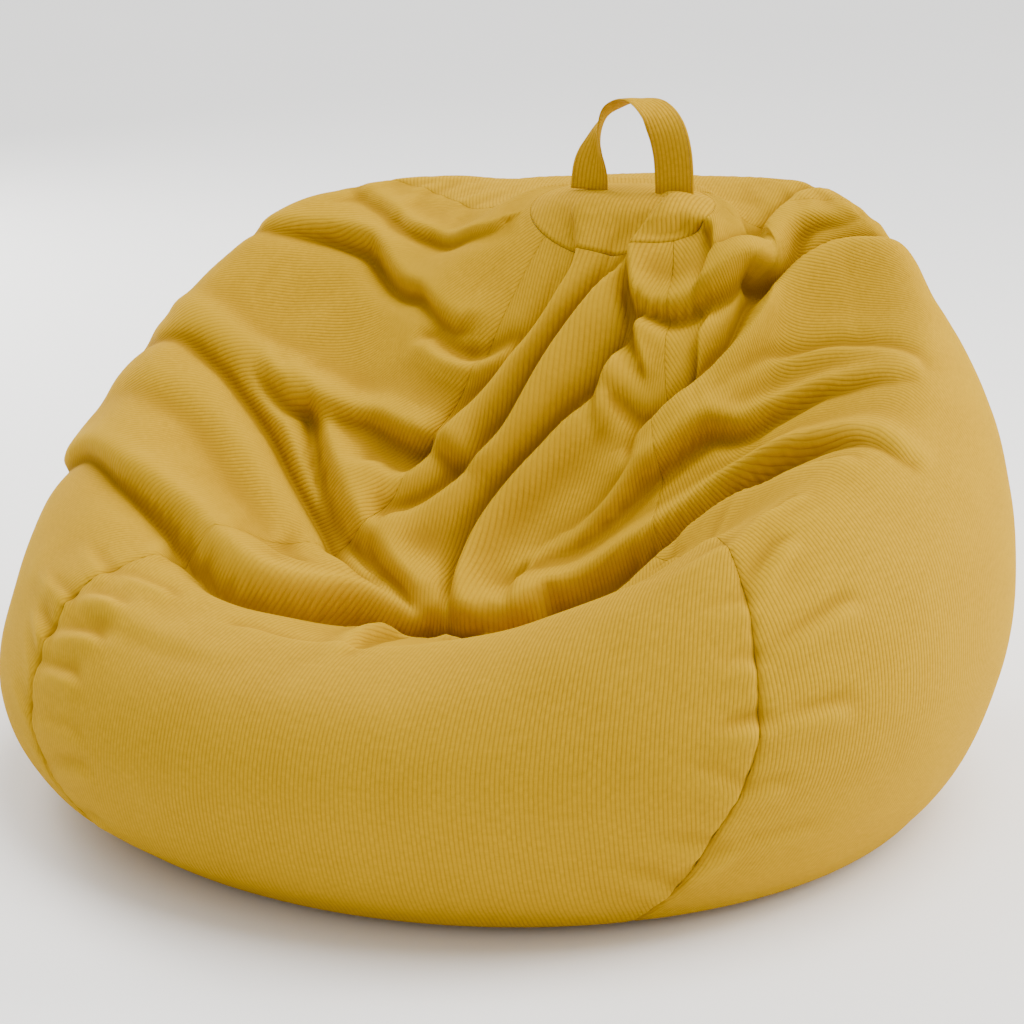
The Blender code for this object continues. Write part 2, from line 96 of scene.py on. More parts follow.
# Soft swellings: azimuth, level, spread in azimuth, spread in level, out, up
SWELLINGS = [
    (-125, 6.0, 32, 1.50, 0.030, 0.070),
    (140, 6.4, 22, 1.20, 0.000, 0.030),
    (-60, 2.6, 50, 1.00, 0.030, -0.010),
    (45, 5.5, 24, 0.90, 0.000, 0.035),
]

# Gore seams: azimuth at the waist and at the base, 0 = front, positive towards +X
SEAMS = {
    "front_right": (45, 34), "back_right": (135, 142),
    "back_left": (-135, -142), "front_left": (-45, -34),
}
GORES = [
    ("front", "front_left", "front_right"),
    ("right", "front_right", "back_right"),
    ("back", "back_right", "back_left"),
    ("left", "back_left", "front_left"),
]

# Folds of the slack cloth. Each has its path as (azimuth, level) points, then in mm: height at its
# start, middle and end; width of its gentle side (left of the path) and of its steep side; depth
# and width of the hollow beyond the steep side; and how far the crest is pushed over that hollow.
FOLDS = [
    ("left rim lap", [(-85, 4.9), (-76, 5.6), (-63, 6.1), (-52, 6.4), (-41, 6.5), (-34, 6.6),
      (-30, 6.95), (-28, 7.5), (-18, 8.0), (-4, 8.15), (8, 8.2)],
     (6, 36, 24), 56, 9, (8, 32, 22), 36, 16),
    ("left broad roll", [(-90, 5.5), (-86, 6.0), (-75, 6.7), (-55, 7.2), (-38, 7.4)],
     (6, 20, 8), 46, 40, (0, 0, 0), 30, 0),
    ("left upper crease", [(-98, 5.7), (-95, 6.1), (-92, 6.4), (-86, 6.8), (-77, 7.2), (-66, 7.5),
      (-52, 7.75), (-36, 7.8)],
     (5, 20, 10), 46, 10, (6, 18, 10), 26, 9),
    ("left rim ridge", [(-101, 5.8), (-97, 6.2), (-91, 6.7), (-85, 7.2), (-79, 7.7), (-66, 8.2),
      (-50, 8.6)],
     (4, 14, 5), 22, 20, (3, 6, 3), 20, 0),
    ("back left crease", [(-118, 6.0), (-117, 6.4), (-118, 7.0), (-115, 7.6), (-97, 8.5), (-66, 9.1)],
     (5, 22, 6), 40, 8, (4, 22, 8), 20, 8),
    ("back rim scallop", [(-129, 6.6), (-124, 7.5), (-120, 8.2), (-98, 9.4)],
     (5, 12, 6), 20, 10, (4, 10, 4), 18, 4),
    ("seat left ridge", [(-88, 7.0), (-81, 7.35), (-79, 7.6), (-71, 7.76), (-55, 7.9), (-38, 8.02),
      (-22, 8.05)],
     (6, 28, 22), 30, 10, (6, 22, 14), 30, 8),
    ("left shelf ridge", [(-86, 7.3), (-79, 7.72), (-68, 8.24), (-50, 8.6), (-38, 8.75), (-28, 8.8)],
     (8, 22, 12), 28, 10, (4, 12, 4), 22, 5),
    ("dimple", [(-34, 9.35), (-44, 9.15), (-56, 8.95), (-72, 8.7)],
     (8, 18, 8), 14, 10, (8, 24, 10), 22, 3),
    ("middle roll left", [(-40, 11.3), (-30, 10.7), (-12, 10.0), (-14, 9.7), (-27, 9.3), (-37, 8.9),
      (-44, 8.45), (-56, 8.15)],
     (14, 32, 18), 26, 11, (8, 16, 6), 18, 6),
    ("middle roll right", [(80, 11.0), (45, 10.6), (22, 10.0), (5, 9.7), (-9, 9.4), (-19, 9.0),
      (-29, 8.6), (-40, 8.2)],
     (18, 36, 20), 28, 10, (8, 24, 8), 16, 7),
    ("centre crease", [(30, 9.5), (19, 9.3), (5, 9.15), (-8, 8.85), (-14, 8.55), (-12, 8.25),
      (-6, 8.1)],
     (14, 24, 16), 22, 8, (14, 30, 14), 18, 8),
    ("seat middle ridge", [(40, 8.75), (25, 8.6), (9, 8.5), (5, 8.3)],
     (6, 14, 8), 16, 10, (4, 12, 8), 18, 3),
    ("seat arc", [(-5, 5.9), (-8, 6.3), (-12, 6.8), (-15, 7.4), (-11, 7.9)],
     (4, 12, 5), 12, 9, (3, 8, 4), 16, 2),
    ("knot left edge", [(22, 10.1), (24, 9.9), (27, 9.7), (33, 9.55), (35, 9.35)],
     (10, 18, 10), 14, 8, (12, 26, 14), 15, 5),
    ("knot pocket", [(35, 9.35), (28, 9.42), (23, 9.36), (18, 9.2)],
     (6, 12, 6), 12, 7, (8, 16, 8), 12, 3),
    ("knot tuck", [(66, 9.1), (60, 8.84), (47, 8.84), (36, 8.95), (20, 9.2)],
     (8, 14, 6), 13, 7, (8, 18, 8), 13, 4),
    ("knot top", [(20, 10.3), (55, 10.2), (79, 9.9), (82, 9.5), (66, 9.35)],
     (8, 12, 6), 14, 9, (4, 8, 4), 14, 3),
    ("right shelf edge", [(34, 9.64), (50, 9.5), (67, 9.36), (98, 8.88), (121, 8.0), (130, 7.5),
      (131, 6.7)],
     (16, 24, 5), 26, 8, (14, 18, 4), 16, 6),
    ("right body edge", [(124, 6.0), (122, 6.5), (121, 7.1), (116, 7.76), (103, 8.24), (80, 8.56),
      (62, 8.72), (39, 8.86)],
     (5, 24, 14), 40, 9, (4, 32, 26), 22, 7),
    ("back right crease", [(140, 6.8), (137, 7.2), (128, 8.0), (104, 8.9), (86, 9.3)],
     (4, 14, 6), 20, 8, (4, 16, 6), 14, 5),
    ("seat right ridge", [(4, 8.45), (9, 8.54), (24, 8.6), (40, 8.66), (62, 8.5), (76, 8.1),
      (84, 7.7), (88, 6.9), (89, 6.2)],
     (12, 20, 4), 20, 8, (12, 16, 2), 16, 5),
    ("seat right upper", [(92, 6.1), (95, 7.1), (92, 7.9), (80, 8.3), (66, 8.55)],
     (4, 10, 5), 16, 12, (2, 6, 2), 14, 0),
    ("arm roll", [(-8, 7.6), (-2, 7.96), (10, 8.22), (33, 8.26), (55, 8.06), (67, 7.7), (73, 6.9),
      (75, 6.1), (77, 5.6)],
     (22, 30, 5), 22, 8, (22, 30, 3), 17, 8),
    ("lip behind the arm", [(67, 6.1), (62, 6.8), (57, 7.4), (47, 7.75), (35, 7.7), (27, 7.6)],
     (4, 18, 10), 40, 9, (3, 18, 10), 17, 5),
    ("lip rear edge", [(32, 6.0), (18, 6.1), (4, 6.1), (-8, 6.0), (-20, 5.9)],
     (3, 7, 3), 40, 12, (3, 8, 3), 24, 3),
    ("lip crest left", [(-58, 4.7), (-46, 5.1), (-33, 5.3), (-18, 5.4)],
     (2, 8, 3), 26, 20, (0, 0, 0), 20, 0),
]

# ---------------------------------------------------------------- surface of the bag


def catmull(a, b, c, d, f):
    """Catmull-Rom between b and c, at share f."""
    return 0.5 * (2 * b + (c - a) * f + (2 * a - 5 * b + 4 * c - d) * f**2 + (3 * b - a - 3 * c + d) * f**3)


def surface(azimuth, level):
    """Points of the smooth bag; azimuth in radians from the front."""
    azimuth, level = np.broadcast_arrays(np.asarray(azimuth, float), np.asarray(level, float))
    rows = np.vstack((2 * LEVELS[0] - LEVELS[1], LEVELS, 2 * LEVELS[-1] - LEVELS[-2]))
    place = np.clip(level, 0, LAST)
    i = np.minimum(place.astype(int), LAST - 1)
    half_w, half_d, shift, front, right, back, left = np.moveaxis(
        catmull(rows[i], rows[i + 1], rows[i + 2], rows[i + 3], (place - i)[..., None]), -1, 0
    )
    z = (
        (front + right + back + left) / 4 + (front - back) / 2 * np.cos(azimuth)
        + (right - left) / 2 * np.sin(azimuth) + (front + back - right - left) / 4 * np.cos(2 * azimuth)
    )
    out = np.zeros_like(z)
    for at, at_level, spread, spread_level, push, lift in SWELLINGS:
        turn = (azimuth - math.radians(at) + math.pi) % (2 * math.pi) - math.pi
        weight = np.exp(-((turn / math.radians(spread)) ** 2) - ((level - at_level) / spread_level) ** 2)
        out += push * weight
        z = z + lift * weight
    grow = 1 + out / np.maximum(half_w, 0.1)
    x = CAP_X * np.clip((level - 5.5) / 4.5, 0, 1) + half_w * grow * np.sin(azimuth)
    return np.stack((x, shift - half_d * grow * np.cos(azimuth), z), -1)


def unit(v):
    return v / np.maximum(np.linalg.norm(v, axis=-1, keepdims=True), 1e-9)


def running_length(points, axis):
    """Distance run along one axis of a grid of points, from 0 at its start."""
    steps = np.linalg.norm(np.diff(points, axis=axis), axis=-1)
    start = np.zeros_like(np.take(steps, [0], axis))
    return np.concatenate((start, np.cumsum(steps, axis)), axis)


def surface_normal(azimuth, level):
    step, edge = 1e-3, LAST - 0.01
    level = np.minimum(level, edge)
    around = surface(azimuth + step, level) - surface(azimuth - step, level)
    up = surface(azimuth, np.minimum(level + step, edge)) - surface(azimuth, level - step)
    return unit(np.cross(around, up))


def inside(azimuth, level, depth):
    return surface(azimuth, level) - np.asarray(depth)[..., None] * surface_normal(azimuth, level)


def level_at_height(azimuth, depth, height):
    """The lowest levels at which the layer at this depth is at this height."""
    low, high = np.full_like(azimuth, BASE_LEVEL), np.full_like(azimuth, 2.5)
    for _ in range(30):
        middle = (low + high) / 2
        under = inside(azimuth, middle, depth)[..., 2] < height
        low, high = np.where(under, middle, low), np.where(under, high, middle)
    return high


def seam_azimuth(name, level):
    at_waist, at_base = SEAMS[name]
    share = np.clip((level - BASE_LEVEL) / (WAIST_LEVEL - BASE_LEVEL), 0, 1)
    return np.radians(at_base + (at_waist - at_base) * share * share * (3 - 2 * share))


def gore_azimuth(index, share, level):
    """Azimuth at a share of the way across one gore."""
    _, start, end = GORES[index]
    a, b = seam_azimuth(start, level), seam_azimuth(end, level)
    b = b + np.where(b < a, 2 * math.pi, 0)
    return a + (b - a) * share


# ---------------------------------------------------------------- folds

TALLEST, DEEPEST = 45 * MM, 38 * MM    # limits that the folds level off towards
CREASE_SEED = 7


def smooth_path(points, steps=8):
    """Catmull-Rom through (azimuth in degrees, level) points, as azimuths in radians and levels."""
    points = np.array(points, float)
    padded = np.vstack((2 * points[0] - points[1], points, 2 * points[-1] - points[-2]))
    t = np.linspace(0, len(points) - 1, (len(points) - 1) * steps + 1)
    i = np.minimum(t.astype(int), len(points) - 2)
    path = catmull(padded[i], padded[i + 1], padded[i + 2], padded[i + 3], (t - i)[:, None])
    return np.radians(path[:, 0]), path[:, 1]


def fold_shape(s, high, low, gentle, steep, hollow):
    """Height of a fold at a distance s to the gentle side of its crest."""
    t = np.clip(-s / steep, 0, 1)
    drop = high + (-low - high) * t * t * (3 - 2 * t)
    beyond = np.exp(-((np.minimum(s + steep, 0) / hollow) ** 2))
    return np.where(s >= 0, high * np.exp(-((s / gentle) ** 2)), np.where(s > -steep, drop, -low * beyond))


def along_path(three, t):
    """A value given at the start, middle and end of a path, at share t."""
    start, middle, end = three
    return np.where(t < 0.5, start + (middle - start) * t * 2, middle + (end - middle) * (t * 2 - 1))


def add_fold(points, normals, height, slide, fold, scale=1.0):
    """Adds one fold to the heights and sideways slides of the points."""
    _, path, highs, gentle, steep, lows, hollow, push = fold
    line = surface(*smooth_path(path))
    up = surface_normal(*smooth_path(path))
    ahead = unit(np.gradient(line, axis=0))
    side = unit(np.cross(up, ahead))
    reach = (3 * max(gentle, steep + hollow) + 30) * MM
    near = np.where(
        (points > line.min(0) - reach).all(1) & (points < line.max(0) + reach).all(1)
    )[0]
    run = running_length(line, 0)
    for part in np.array_split(near, max(1, len(near) // 20000)):
        q = points[part]
        gap = q[:, None] - line[None]
        nearest = (gap**2).sum(2).argmin(1)
        d = q - line[nearest]
        forward = (d * ahead[nearest]).sum(1)
        t_raw = (run[nearest] + forward) / run[-1]
        t = np.clip(t_raw, 0, 1)
        foot = np.stack([np.interp(t * run[-1], run, line[:, k]) for k in range(3)], 1)
        off = q - foot
        across = (off * side[nearest]).sum(1)
        rising = (off * up[nearest]).sum(1)[:, None] * up[nearest]
        s = np.sign(across) * np.linalg.norm(off - rising * 0.5, axis=1)
        over = np.maximum(np.maximum(-t_raw, t_raw - 1), 0) * run[-1]
        end = np.exp(-((over / (0.6 * gentle * MM + 12 * MM)) ** 2))
        end = end * np.clip((normals[part] * up[nearest]).sum(1) * 1.5 + 0.4, 0, 1)
        high, low = along_path(highs, t) * MM, along_path(lows, t) * MM
        rise = fold_shape(s, high, low, gentle * MM, steep * MM, hollow * MM)
        height[part] += rise * end * scale
        lean = push * MM * end * scale * np.exp(-((s / (1.2 * steep * MM + 6 * MM)) ** 2))
        slide[part] -= side[nearest] * lean[:, None]


def seam_wrinkles(rng):
    """Short shallow folds that run off the upright seams."""
    wrinkles = []
    for name in SEAMS:
        level = 2.2
        while level < 8.2:
            at = math.degrees(float(seam_azimuth(name, level)))
            for side in (-1, 1):
                reach = rng.uniform(4, 12)
                rise = rng.uniform(-0.15, 0.45)
                path = [
                    (at + side * 0.5, level),
                    (at + side * reach * 0.5, level + rise * 0.6),
                    (at + side * reach, level + rise),
                ]
                if side > 0:
                    path = path[::-1]
                high = rng.uniform(1.5, 4.5) * (1.5 if 3.4 < level < 6.4 else 1.0)
                high = high * (0.55 if "back" in name else 1.0)
                gentle, steep = rng.uniform(9, 16), rng.uniform(7, 10)
                highs, lows = (high, high * 0.8, 0.5), (high * 0.7, high * 0.5, 0)
                wrinkles.append(("seam wrinkle", path, highs, gentle, steep, lows, rng.uniform(9, 14), 0))
            level += rng.uniform(0.35, 0.75)
    return wrinkles


def crumple(points, rng, waves, longest, shortest):
    """Soft unevenness: a sum of waves in all directions, about -1 to 1."""
    total = np.zeros(len(points))
    for _ in range(waves):
        direction = unit(rng.normal(size=3))
        length = math.exp(rng.uniform(math.log(shortest), math.log(longest)))
        phase = points @ direction * (2 * math.pi / length) + rng.uniform(0, 2 * math.pi)
        total += np.sin(phase) * length / longest
    return total / max(1e-9, np.abs(total).max())


def folded(azimuth, level, scale=1.0):
    """Cover points with all folds, and the normals of the smooth bag under them."""
    shape = azimuth.shape
    a, l = azimuth.ravel(), level.ravel()
    points, normals = surface(a, l), surface_normal(a, l)
    height, slide = np.zeros(len(a)), np.zeros((len(a), 3))
    rng = np.random.default_rng(CREASE_SEED)
    for fold in FOLDS + seam_wrinkles(rng):
        add_fold(points, normals, height, slide, fold, scale)
    height += 2.6 * MM * crumple(points, rng, 14, 0.16, 0.05) * np.clip((l - 3.5) / 2, 0.25, 1)
    crest, hollow = TALLEST * np.tanh(height / TALLEST), -DEEPEST * np.tanh(-height / DEEPEST)
    height = np.where(height > 0, crest, hollow)
    keep = np.clip((l - 1.25) / 1.0, 0, 1)
    keep = keep * (1 - 0.30 * np.clip((l - 9.6) / 0.4, 0, 1)) * np.clip((11.8 - l) / 1.2, 0, 1)
    height = np.where(l > 9.3, np.maximum(height, -2.5 * MM - 30 * MM * np.clip(9.9 - l, 0, 1)), height)
    height, slide = height * keep, slide * keep[:, None]
    moved = points + normals * height[:, None] + slide
    return moved.reshape(*shape, 3), normals.reshape(*shape, 3)


# ---------------------------------------------------------------- mesh helpers


def link_object(name, data):
    """An object with this mesh, light or camera, in the scene."""
    obj = bpy.data.objects.new(name, data)
    bpy.context.scene.collection.objects.link(obj)
    return obj


def add_piece(name, points, faces, uv=None):
    """A mesh object with its place in its mesh. uv is one (u, v) in metres for each point."""
    mesh = bpy.data.meshes.new(name)
    mesh.from_pydata([tuple(p) for p in points], [], [tuple(f) for f in faces])
    mesh.validate()
    if uv is not None:
        layer = mesh.uv_layers.new(name="cloth")
        corner = np.zeros(len(mesh.loops), np.int32)
        mesh.loops.foreach_get("vertex_index", corner)
        layer.data.foreach_set("uv", np.asarray(uv, np.float32)[corner].ravel())
    mesh.shade_smooth()
    return link_object(name, mesh)


def grid_faces(rows, cols, wrap=False, start=0):
    """Quads of a grid of points stored row by row."""
    r, c = np.meshgrid(np.arange(rows - 1), np.arange(cols if wrap else cols - 1), indexing="ij")
    right = (c + 1) % cols
    a, b = r * cols + c, r * cols + right
    faces = np.stack((a, b, b + cols, a + cols), -1).reshape(-1, 4) + start
    return faces.tolist()


def point_attribute(obj, name, values):
    layer = obj.data.attributes.new(name, "FLOAT", "POINT")
    layer.data.foreach_set("value", np.asarray(values, np.float32).ravel())


def wall(obj, thick):
    """Gives an open sheet its thickness, inwards from its outer face."""
    solid = obj.modifiers.new("cloth thickness", "SOLIDIFY")
    solid.thickness = thick
    solid.offset = -1
    solid.use_even_offset = False
    return obj


def settle(obj):
    """Applies the modifiers, so that the piece is one plain mesh."""
    bpy.context.view_layer.update()
    graph = bpy.context.evaluated_depsgraph_get()
    mesh = bpy.data.meshes.new_from_object(obj.evaluated_get(graph), depsgraph=graph)
    mesh.name = obj.name
    obj.modifiers.clear()
    old, obj.data = obj.data, mesh
    bpy.data.meshes.remove(old)
    return obj


def softened_copy(node, name, width, segments=3):
    """A copy of a CAD node with its doubles merged, flats joined and edges rounded."""
    bm = bmesh.new()
    bm.from_mesh(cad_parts[node].data)
    bmesh.ops.remove_doubles(bm, verts=bm.verts, dist=1e-6)
    bmesh.ops.dissolve_limit(bm, angle_limit=math.radians(1), verts=bm.verts, edges=bm.edges)
    mesh = bpy.data.meshes.new(name)
    bm.to_mesh(mesh)
    bm.free()
    mesh.materials.clear()
    obj = link_object(name, mesh)
    bevel = obj.modifiers.new("rounded edges", "BEVEL")
    bevel.width = width
    bevel.segments = segments
    bevel.limit_method = "ANGLE"
    bevel.angle_limit = math.radians(35)
    bevel.use_clamp_overlap = True
    bevel.harden_normals = False
    settle(obj)
    obj.data.shade_smooth()
    return obj


def flat_uv(obj, centre=(0, 0)):
    """A cloth map seen from below, in metres."""
    layer = obj.data.uv_layers.new(name="cloth")
    for loop in obj.data.loops:
        co = obj.data.vertices[loop.vertex_index].co
        layer.data[loop.index].uv = (co.x - centre[0] + 0.4 * co.z, co.y - centre[1] + 0.4 * co.z)


def finish_piece(obj, body, mat, slot_name, *nodes):
    obj.data.materials.clear()
    obj.data.materials.append(mat)
    if body:
        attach(obj, body)
    if nodes:
        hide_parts(*nodes)
    return obj


# ---------------------------------------------------------------- materials


def add_node(tree, kind, values=None, **settings):
    """A shader node with its settings, and its inputs set to numbers or linked to sockets."""
    node = tree.nodes.new(kind)
    for key, value in settings.items():
        setattr(node, key, value)
    for key, value in (values or {}).items():
        if isinstance(value, bpy.types.NodeSocket):
            tree.links.new(value, node.inputs[key])
        else:
            node.inputs[key].default_value = value
    return node


def maths(tree, operation, a, b=0.0, c=0.0, clamp=False):
    return add_node(
        tree, "ShaderNodeMath", {0: a, 1: b, 2: c}, operation=operation, use_clamp=clamp
    ).outputs[0]


def mix_colour(tree, share, a, b, blend="MIX"):
    return add_node(
        tree, "ShaderNodeMix", {0: share, 6: a, 7: b}, data_type="RGBA", blend_type=blend
    ).outputs[2]


def noise_at(tree, vector, scale, detail=2.0, rough=0.5):
    return add_node(
        tree, "ShaderNodeTexNoise", {"Vector": vector, "Scale": scale, "Detail": detail, "Roughness": rough}
    ).outputs[0]


def new_material(name, colour, rough, **sockets):
    """A material and its tree and shader; the other sockets are set on the shader itself."""
    mat = bpy.data.materials.new(name)
    mat.use_nodes = True
    shader = mat.node_tree.nodes["Principled BSDF"]
    shader.inputs["Base Color"].default_value = tone(colour)
    shader.inputs["Roughness"].default_value = rough
    for key, value in sockets.items():
        shader.inputs[key.replace("_", " ")].default_value = value
    mat.diffuse_color = tone(colour)
    return mat, mat.node_tree, shader


def add_bump(tree, shader, height, strength, distance):
    bump = add_node(tree, "ShaderNodeBump", {"Height": height, "Strength": strength, "Distance": distance})
    tree.links.new(bump.outputs[0], shader.inputs["Normal"])


def add_tones(tree, shader, share, dark, light):
    """Colours the shader between a dark and a light tone."""
    tree.links.new(mix_colour(tree, share, dark, light), shader.inputs["Base Color"])


def tone(colour, share=1.0):
    """The colour at a share of its brightness."""
    return tuple(c * share for c in colour[:3]) + (1,)


def object_place(tree):
    return add_node(tree, "ShaderNodeTexCoord").outputs["Object"]


def corduroy_material(name, colour, pitch):
    """Ribbed cotton velvet: rounded wales with painted shade in their valleys, brushed nap, a soft sheen,
    painted highlight on the crests of the folds and painted shade in their hollows and seams.
    """
    mat, tree, shader = new_material(
        name, colour, 0.80, Sheen_Weight=0.20, Sheen_Roughness=0.30, Sheen_Tint=(1.0, 0.66, 0.01, 1),
        Specular_IOR_Level=0.04,
    )
    place = object_place(tree)
    cloth = add_node(tree, "ShaderNodeUVMap", uv_map="cloth").outputs[0]
    split = add_node(tree, "ShaderNodeSeparateXYZ", {0: cloth})
    across, along = split.outputs[0], split.outputs[1]
    wander = maths(tree, "MULTIPLY_ADD", noise_at(tree, place, 14, 2), 0.0022, across)
    beat = maths(tree, "FRACT", maths(tree, "DIVIDE", wander, pitch))
    swing = maths(tree, "ABSOLUTE", maths(tree, "MULTIPLY_ADD", beat, 2.0, -1.0))
    wale = maths(tree, "SUBTRACT", 1.0, maths(tree, "POWER", swing, 2.2))
    fibre_at = add_node(
        tree, "ShaderNodeCombineXYZ",
        {0: maths(tree, "MULTIPLY", across, 2600.0), 1: maths(tree, "MULTIPLY", along, 900.0), 2: 0.0},
    ).outputs[0]
    fibre = noise_at(tree, fibre_at, 1.0, 2)
    rib = maths(tree, "FLOOR", maths(tree, "DIVIDE", wander, pitch))
    tuft_at = add_node(
        tree, "ShaderNodeCombineXYZ", {0: rib, 1: maths(tree, "MULTIPLY", along, 160.0), 2: 0.0}
    ).outputs[0]
    tuft = noise_at(tree, tuft_at, 1.0, 3, 0.6)
    height = maths(tree, "MULTIPLY_ADD", fibre, 0.22, maths(tree, "MULTIPLY_ADD", tuft, 0.16, wale))
    add_bump(tree, shader, height, 0.45, 0.0010)
    # deep is the painted shade tone: it darkens the valleys between the wales and the hollows of the folds.
    deep = (colour[0] * 0.66, colour[1] * 0.60, colour[2] * 0.40, 1)
    # bright is the lighter nap tone: it is used for random patches of brushed nap and for the painted
    # highlight on the crests of the folds.
    bright = (min(1, colour[0] * 1.12), min(1, colour[1] * 1.16), colour[2] * 1.5, 1)
    # Painted shade: the colour darkens towards deep in the valleys between the wales.
    body = mix_colour(tree, maths(tree, "POWER", wale, 0.7), deep, tone(colour))
    small = maths(tree, "MULTIPLY", noise_at(tree, place, 26.0, 3), 0.4)
    brushed = maths(tree, "MULTIPLY_ADD", noise_at(tree, place, 5.0, 3), 0.6, small)
    light = maths(tree, "MULTIPLY_ADD", brushed, 2.4, -0.85, clamp=True)
    nap = mix_colour(tree, maths(tree, "MULTIPLY", light, 0.45), body, bright)
    grain = maths(tree, "MULTIPLY_ADD", tuft, 0.5, maths(tree, "MULTIPLY_ADD", fibre, 0.3, 0.60))
    grey = add_node(tree, "ShaderNodeCombineXYZ", {0: grain, 1: grain, 2: grain}).outputs[0]
    shaded = mix_colour(tree, 1.0, nap, grey, "MULTIPLY")
    # Painted highlight on the crests of the folds and painted shade in their hollows, both driven by the
    # crest attribute.
    relief_for_painted_light = add_node(tree, "ShaderNodeAttribute", attribute_name="crest").outputs["Fac"]
    painted_crest_highlight = mix_colour(tree, maths(tree, "MULTIPLY", relief_for_painted_light, 0.55, clamp=True), shaded, bright)
    # Painted shade: the hollows of the folds and the seam grooves darken towards deep.
    hollow = maths(tree, "MULTIPLY", relief_for_painted_light, -0.9, clamp=True)
    add_tones(tree, shader, hollow, painted_crest_highlight, deep)
    return mat


def woven_material(name, colour, pitch, twill=False):
    """Plain or twill woven cloth and tape, on the object's own x and y."""
    mat, tree, shader = new_material(
        name, colour, 0.85, Sheen_Weight=0.15, Sheen_Roughness=0.5, Specular_IOR_Level=0.2
    )
    place = object_place(tree)
    split = add_node(tree, "ShaderNodeSeparateXYZ", {0: place})
    x, y, z = split.outputs
    turn = 2 * math.pi / pitch
    warp = maths(tree, "SINE", maths(tree, "MULTIPLY", maths(tree, "MULTIPLY_ADD", z, 0.7, x), turn))
    run = maths(tree, "MULTIPLY_ADD", z, 0.7, y)
    if twill:
        run = maths(tree, "ADD", run, x)
    weft = maths(tree, "SINE", maths(tree, "MULTIPLY", run, turn))
    weave = maths(tree, "MULTIPLY_ADD", maths(tree, "MULTIPLY", warp, weft), 0.5, 0.5)
    slub = noise_at(tree, place, 120, 3)
    add_bump(tree, shader, maths(tree, "MULTIPLY_ADD", slub, 0.5, weave), 0.5, pitch * 0.25)
    dark = tone(colour, 0.72)
    share = maths(tree, "MULTIPLY_ADD", noise_at(tree, place, 9, 3), 0.4, maths(tree, "MULTIPLY", weave, 0.6))
    add_tones(tree, shader, share, dark, tone(colour))
    return mat


def bead_material(name, colour):
    """Expanded polystyrene beads pressed against each other, with painted shade in the gaps between them."""
    mat, tree, shader = new_material(
        name, colour, 0.55, Subsurface_Weight=0.1, Subsurface_Radius=(0.004, 0.004, 0.004)
    )
    place = object_place(tree)
    cell = add_node(tree, "ShaderNodeTexVoronoi", {"Vector": place, "Scale": 240.0, "Randomness": 0.7})
    edge = maths(tree, "POWER", maths(tree, "MULTIPLY", cell.outputs["Distance"], 1.5), 2.0)
    dome = maths(tree, "SUBTRACT", 1.0, edge)
    add_bump(tree, shader, dome, 0.9, 0.0022)
    # Painted shade: the bead edges and the gaps between beads darken to grey.
    gap = maths(tree, "MULTIPLY_ADD", dome, 1.6, -0.1, clamp=True)
    tint = mix_colour(tree, noise_at(tree, place, 60, 2), (0.80, 0.81, 0.80, 1), tone(colour))
    add_tones(tree, shader, gap, (0.42, 0.42, 0.40, 1), tint)
    return mat


def coil_material(name, colour):
    """Moulded nylon coil."""
    mat, tree, shader = new_material(name, colour, 0.38, Specular_IOR_Level=0.5)
    place = object_place(tree)
    streak = noise_at(tree, place, 700, 2)
    dark = tone(colour, 0.8)
    add_tones(tree, shader, streak, dark, tone(colour))
    tree.links.new(maths(tree, "MULTIPLY_ADD", streak, 0.2, 0.28), shader.inputs["Roughness"])
    return mat


def nickel_material(name, colour):
    """Cast and tumbled nickel plate with faint scuffs."""
    mat, tree, shader = new_material(name, colour, 0.3, Metallic=1.0)
    place = object_place(tree)
    scuff = noise_at(tree, place, 420, 4, 0.65)
    tree.links.new(maths(tree, "MULTIPLY_ADD", scuff, 0.28, 0.17), shader.inputs["Roughness"])
    dull = tone(colour, 0.78)
    add_tones(tree, shader, noise_at(tree, place, 90, 3), dull, tone(colour))
    add_bump(tree, shader, scuff, 0.12, 0.0002)
    return mat


def thread_material(name, colour):
    """Two-ply twisted sewing thread."""
    mat, tree, shader = new_material(name, colour, 0.6, Sheen_Weight=0.2)
    place = object_place(tree)
    wave = {"Vector": place, "Scale": 420.0, "Distortion": 1.5}
    ply = add_node(tree, "ShaderNodeTexWave", wave, bands_direction="DIAGONAL").outputs["Fac"]
    add_bump(tree, shader, ply, 0.5, 0.0002)
    dark = tone(colour, 0.6)
    add_tones(tree, shader, ply, dark, tone(colour))
    return mat


def floor_material(name, colour):
    """Matt painted studio floor."""
    mat, tree, shader = new_material(name, colour, 0.6, Specular_IOR_Level=0.2)
    place = object_place(tree)
    light = tuple(min(1, c * 1.02) for c in colour[:3]) + (1,)
    dark = tone(colour, 0.985)
    add_tones(tree, shader, noise_at(tree, place, 1.5, 3), dark, light)
    return mat


# ---------------------------------------------------------------- cloth of the whole bag

COLUMNS, ROWS = 104, 200    # cells across one gore and rows from the base to the cap
COVER_THICK, LINING_THICK = 1.2 * MM, 0.8 * MM
SLIT = 0.12 * MM
LINING_DEPTH, FILL_DEPTH = 3.4 * MM, 7.0 * MM
LINING_ROWS, LINING_COLUMNS = 50, 27
CLOTH_HOLD = 0.30           # how firmly the simulated cloth keeps to its folds
TAUT_BELOW = 6.6            # level under which the beads press the cloth smooth
CLOTH_SPARE = 0.004         # how much longer the cloth is than the shape it lies on
CLOTH_FRAMES = 14
CLOTH_REACH = 9 * MM        # furthest that a point of the cloth may move
made = {}                   # what one operator makes for the next


def row_levels():
    """Levels of the rows, about evenly spaced up the cloth."""
    fine = np.linspace(BASE_LEVEL, CAP_LEVEL, 400)
    azimuth = np.linspace(-math.pi, math.pi, 24, endpoint=False)
    lines = surface(azimuth[:, None], fine[None])
    run = np.linalg.norm(np.diff(lines, axis=1), axis=2).mean(0)
    run = np.concatenate(([0], np.cumsum(run)))
    return np.interp(np.linspace(0, run[-1], ROWS), run, fine)


